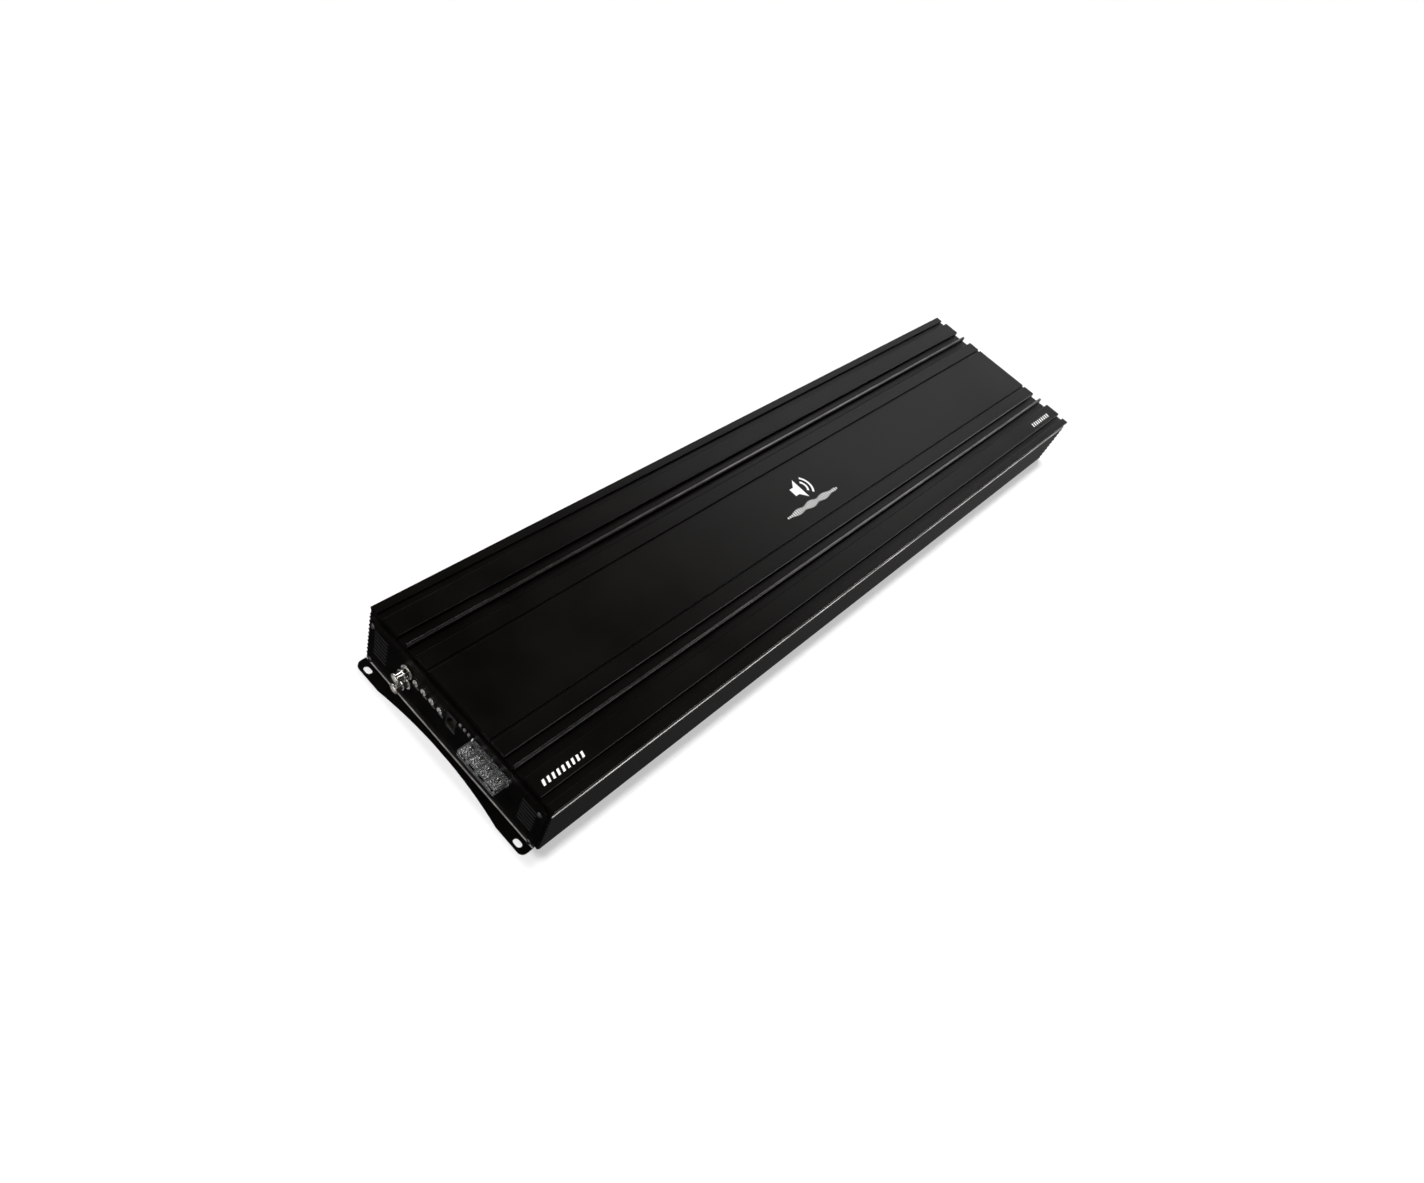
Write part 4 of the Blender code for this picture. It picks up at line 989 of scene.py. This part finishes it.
# On the power plate: a plus and a minus beside the terminals, a short mark and two lines above.
ON_POWER = Matrix((
    (0, 0, 1, POWER_FACE_X + INK_GAP), (-1, 0, 0, 0), (0, 1, 0, 0), (0, 0, 0, 1)))
SIGN_X, SIGN_Z, SIGN_SIZE, SIGN_STROKE = 14.2, 43.5, 4.2, 0.9
signs = [
    bar(-SIGN_X, SIGN_Z, SIGN_SIZE, SIGN_STROKE), bar(-SIGN_X, SIGN_Z, SIGN_STROKE, SIGN_SIZE),
    bar(SIGN_X, SIGN_Z, SIGN_SIZE, SIGN_STROKE), bar(0, SIGN_Z, SIGN_STROKE, 3.6),
]
for i in range(2):
    signs.append(bar(0, 49.5 + 1.6 * i, 26 - 10 * i, 0.5))
plate_mark("power_signs", signs, ON_POWER, "white_ink")

# ---------------------------------------------------------------- the CAD nodes' own looks

for node_name, thing in NODES.items():
    thing.data.materials.clear()
    thing.data.materials.append(LOOKS[SLOT_OF[node_name]])

# ---------------------------------------------------------------- stage, light and camera

FLOOR_SIZE, FLOOR_DROP = 20.0, 0.02 * MM
WALL_RADIUS, WALL_HEIGHT, WALL_MIDDLE_Z = 18.0, 24.0, 11.9


def set_piece(shape, name, look_name, grey, roughness, specular, glow):
    """A piece of the set: one matt tone and a white glow, hidden from reflections."""
    made = bpy.data.objects.new(name, mesh_of(shape, name))
    bpy.context.scene.collection.objects.link(made)
    look = bpy.data.materials.new(look_name)
    look.use_nodes = True
    inputs = look.node_tree.nodes["Principled BSDF"].inputs
    inputs["Base Color"].default_value = (grey, grey, grey, 1)
    inputs["Roughness"].default_value = roughness
    inputs["Specular IOR Level"].default_value = specular
    inputs["Emission Color"].default_value = (1, 1, 1, 1)
    inputs["Emission Strength"].default_value = glow
    made.data.materials.append(look)
    made.visible_glossy = False
    return made


floor_shape = bmesh.new()
bmesh.ops.create_grid(floor_shape, x_segments=1, y_segments=1, size=FLOOR_SIZE)
floor = set_piece(floor_shape, "floor", "pale_floor", 0.5, 0.9, 0.1, 0.5)
floor.location = (0, 0, -FLOOR_DROP)

# A white wall all round, seen only by the camera: it lights nothing and shows in no reflection.
wall_shape = bmesh.new()
bmesh.ops.create_cone(
    wall_shape, cap_ends=False, segments=96, radius1=WALL_RADIUS, radius2=WALL_RADIUS,
    depth=WALL_HEIGHT, matrix=Matrix.Translation((0, 0, WALL_MIDDLE_Z)))
wall = set_piece(wall_shape, "backdrop", "white_wall", 0.0, 0.5, 0.0, 1.0)
wall.visible_diffuse = False
wall.visible_transmission = False
wall.visible_shadow = False

# The room: dim above, lighter towards the horizon and the floor, with two dark flags that keep the
# near top and the control plate black. Each tone is a height with a brightness, and each flag is a
# direction with its inner and outer angles.
ROOM_TONES = ((-1.0, 0.06), (-0.9, 0.09), (-0.5, 0.21), (-0.1, 0.34), (0.03, 0.20), (0.3, 0.07), (1.0, 0.05))
ROOM_TINT = (1.0, 0.985, 0.965)
FLAG_LEVEL = 0.12
DARK_FLAGS = (((-0.37, 0.32, -0.87), 24, 46), ((0.36, 0.20, 0.91), 24, 48))
world = bpy.data.worlds.new("studio")
world.use_nodes = True
nodes = world.node_tree.nodes
wires = world.node_tree.links
direction = nodes.new("ShaderNodeTexCoord").outputs["Generated"]
parts = nodes.new("ShaderNodeSeparateXYZ")
wires.new(direction, parts.inputs[0])
height = nodes.new("ShaderNodeMapRange")
wires.new(parts.outputs["Z"], height.inputs["Value"])
height.inputs["From Min"].default_value = -1.0
tones = nodes.new("ShaderNodeValToRGB")
wires.new(height.outputs[0], tones.inputs[0])
while len(tones.color_ramp.elements) < len(ROOM_TONES):
    tones.color_ramp.elements.new(0.5)
for stop, (level, tone) in zip(tones.color_ramp.elements, ROOM_TONES):
    stop.position = (level + 1) / 2
    stop.color = (*(tone * share for share in ROOM_TINT), 1)
open_shares = []
for toward, inner, outer in DARK_FLAGS:
    nearness = nodes.new("ShaderNodeVectorMath")
    nearness.operation = "DOT_PRODUCT"
    wires.new(direction, nearness.inputs[0])
    nearness.inputs[1].default_value = Vector(toward).normalized()
    open_share = nodes.new("ShaderNodeMapRange")
    open_share.interpolation_type = "SMOOTHSTEP"
    wires.new(nearness.outputs["Value"], open_share.inputs["Value"])
    open_share.inputs["From Min"].default_value = math.cos(math.radians(outer))
    open_share.inputs["From Max"].default_value = math.cos(math.radians(inner))
    open_share.inputs["To Min"].default_value = 1.0
    open_share.inputs["To Max"].default_value = FLAG_LEVEL
    open_shares.append(open_share.outputs[0])
strength = nodes.new("ShaderNodeMath")
strength.operation = "MULTIPLY"
for index, share in enumerate(open_shares):
    wires.new(share, strength.inputs[index])
wires.new(tones.outputs[0], nodes["Background"].inputs["Color"])
wires.new(strength.outputs[0], nodes["Background"].inputs["Strength"])
bpy.context.scene.world = world

# Three groups: the lamps light the whole object or only its bright fittings, and never the floor. The
# casing alone casts the shadows of the two suns.
FITTING_SLOTS = {"bright_nickel", "zinc_steel", "clear_plastic", "white_plastic", "led_plastic"}
CASING = {"heatsink_chassis_skin", "control_end_plate_skin", "power_end_plate_skin"}
lit = {}
for group in ("object", "fittings", "casing"):
    lit[group] = bpy.data.collections.new(f"lit_{group}")
for made in [thing for thing in bpy.data.objects if thing.type == "MESH" and thing not in (floor, wall)]:
    lit["object"].objects.link(made)
    if made.name in CASING:
        lit["casing"].objects.link(made)
    if made.get("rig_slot") in FITTING_SLOTS:
        lit["fittings"].objects.link(made)


def softbox(name, place, target, size, radiance, group, under_floor=False):
    """A rectangular lamp of a given brightness that lights one group of pieces.

    A lamp under the floor is blocked by the object only, so that it shines through the floor.
    """
    lamp = bpy.data.lights.new(name, "AREA")
    lamp.shape = "RECTANGLE"
    lamp.size, lamp.size_y = size
    lamp.energy = radiance * math.pi * size[0] * size[1]
    made = bpy.data.objects.new(name, lamp)
    bpy.context.scene.collection.objects.link(made)
    made.location = place
    made.rotation_euler = (Vector(target) - Vector(place)).to_track_quat("-Z", "Y").to_euler()
    made.light_linking.receiver_collection = lit[group]
    made.visible_camera = False
    if under_floor:
        made.light_linking.blocker_collection = lit["object"]
    return made


def high_sun(name, travel, energy, angle):
    """Light from far above. Only the casing casts its shadow, so the fittings leave no blots."""
    lamp = bpy.data.lights.new(name, "SUN")
    lamp.energy = energy
    lamp.angle = math.radians(angle)
    made = bpy.data.objects.new(name, lamp)
    bpy.context.scene.collection.objects.link(made)
    made.rotation_euler = Vector(travel).to_track_quat("-Z", "Y").to_euler()
    made.visible_glossy = False
    made.visible_transmission = False
    made.light_linking.blocker_collection = lit["casing"]


high_sun("overhead", (-0.03, -0.13, -1), 2.0, 7)
high_sun("overhead_low", (-0.22, -0.11, -1), 1.4, 7)

CONTROL_END, POWER_END, CENTRE = (-0.41, 0, 0.04), (0.41, 0, 0.04), (0.1, 0, 0.05)
softbox("far_panel", (1.75, 0.78, 1.5), CENTRE, (1.3, 0.7), 1.15, "object")
softbox("side_strip", (1.5, -1.9, 0.45), CENTRE, (2.8, 0.4), 4.4, "object")
softbox("front_strip", (-1.57, 0.26, 0.62), CONTROL_END, (1.6, 0.4), 3.2, "object")
softbox("rear_strip", (-0.5, 2.2, 0.7), (0, 0, 0.05), (2.6, 0.5), 2.0, "object")
softbox("power_strip", (2.3, 0.2, 0.45), POWER_END, (1.6, 0.4), 2.6, "object")
softbox("fitting_left", (0.07, 0.72, 0.88), CONTROL_END, (0.9, 0.45), 3.4, "fittings")
softbox("fitting_right", (0.07, -0.54, 1.0), CONTROL_END, (0.9, 0.4), 2.4, "fittings")
softbox("fitting_low", (-0.74, 0.29, -0.74), CONTROL_END, (0.8, 0.5), 0.35, "fittings", under_floor=True)

# As solved from straight edges and corners in the photograph.
AZIMUTH, ELEVATION, ROLL = math.radians(-67.5306), math.radians(47.7895), math.radians(27.2429)
CAMERA_PLACE = (-0.69518, -0.25085, 0.69014)
LENS = 24.853


def camera_matrix():
    """The camera's place and turn, from its azimuth, elevation and roll."""
    back = Vector((
        math.sin(AZIMUTH) * math.cos(ELEVATION), -math.cos(AZIMUTH) * math.cos(ELEVATION),
        math.sin(ELEVATION)))
    right = Vector((math.cos(AZIMUTH), math.sin(AZIMUTH), 0))
    up = back.cross(right)
    rolled_right = right * math.cos(ROLL) + up * math.sin(ROLL)
    rolled_up = -right * math.sin(ROLL) + up * math.cos(ROLL)
    turn = Matrix((rolled_right, rolled_up, back)).transposed().to_4x4()
    return Matrix.Translation(CAMERA_PLACE) @ turn


camera_data = bpy.data.cameras.new("camera")
camera_data.lens = LENS
camera_data.sensor_width = 36.0
camera_data.clip_start = 0.02
camera = bpy.data.objects.new("camera", camera_data)
bpy.context.scene.collection.objects.link(camera)
camera.matrix_world = camera_matrix()
bpy.context.scene.camera = camera
bpy.context.scene.view_settings.view_transform = "Standard"

bpy.context.view_layer.update()
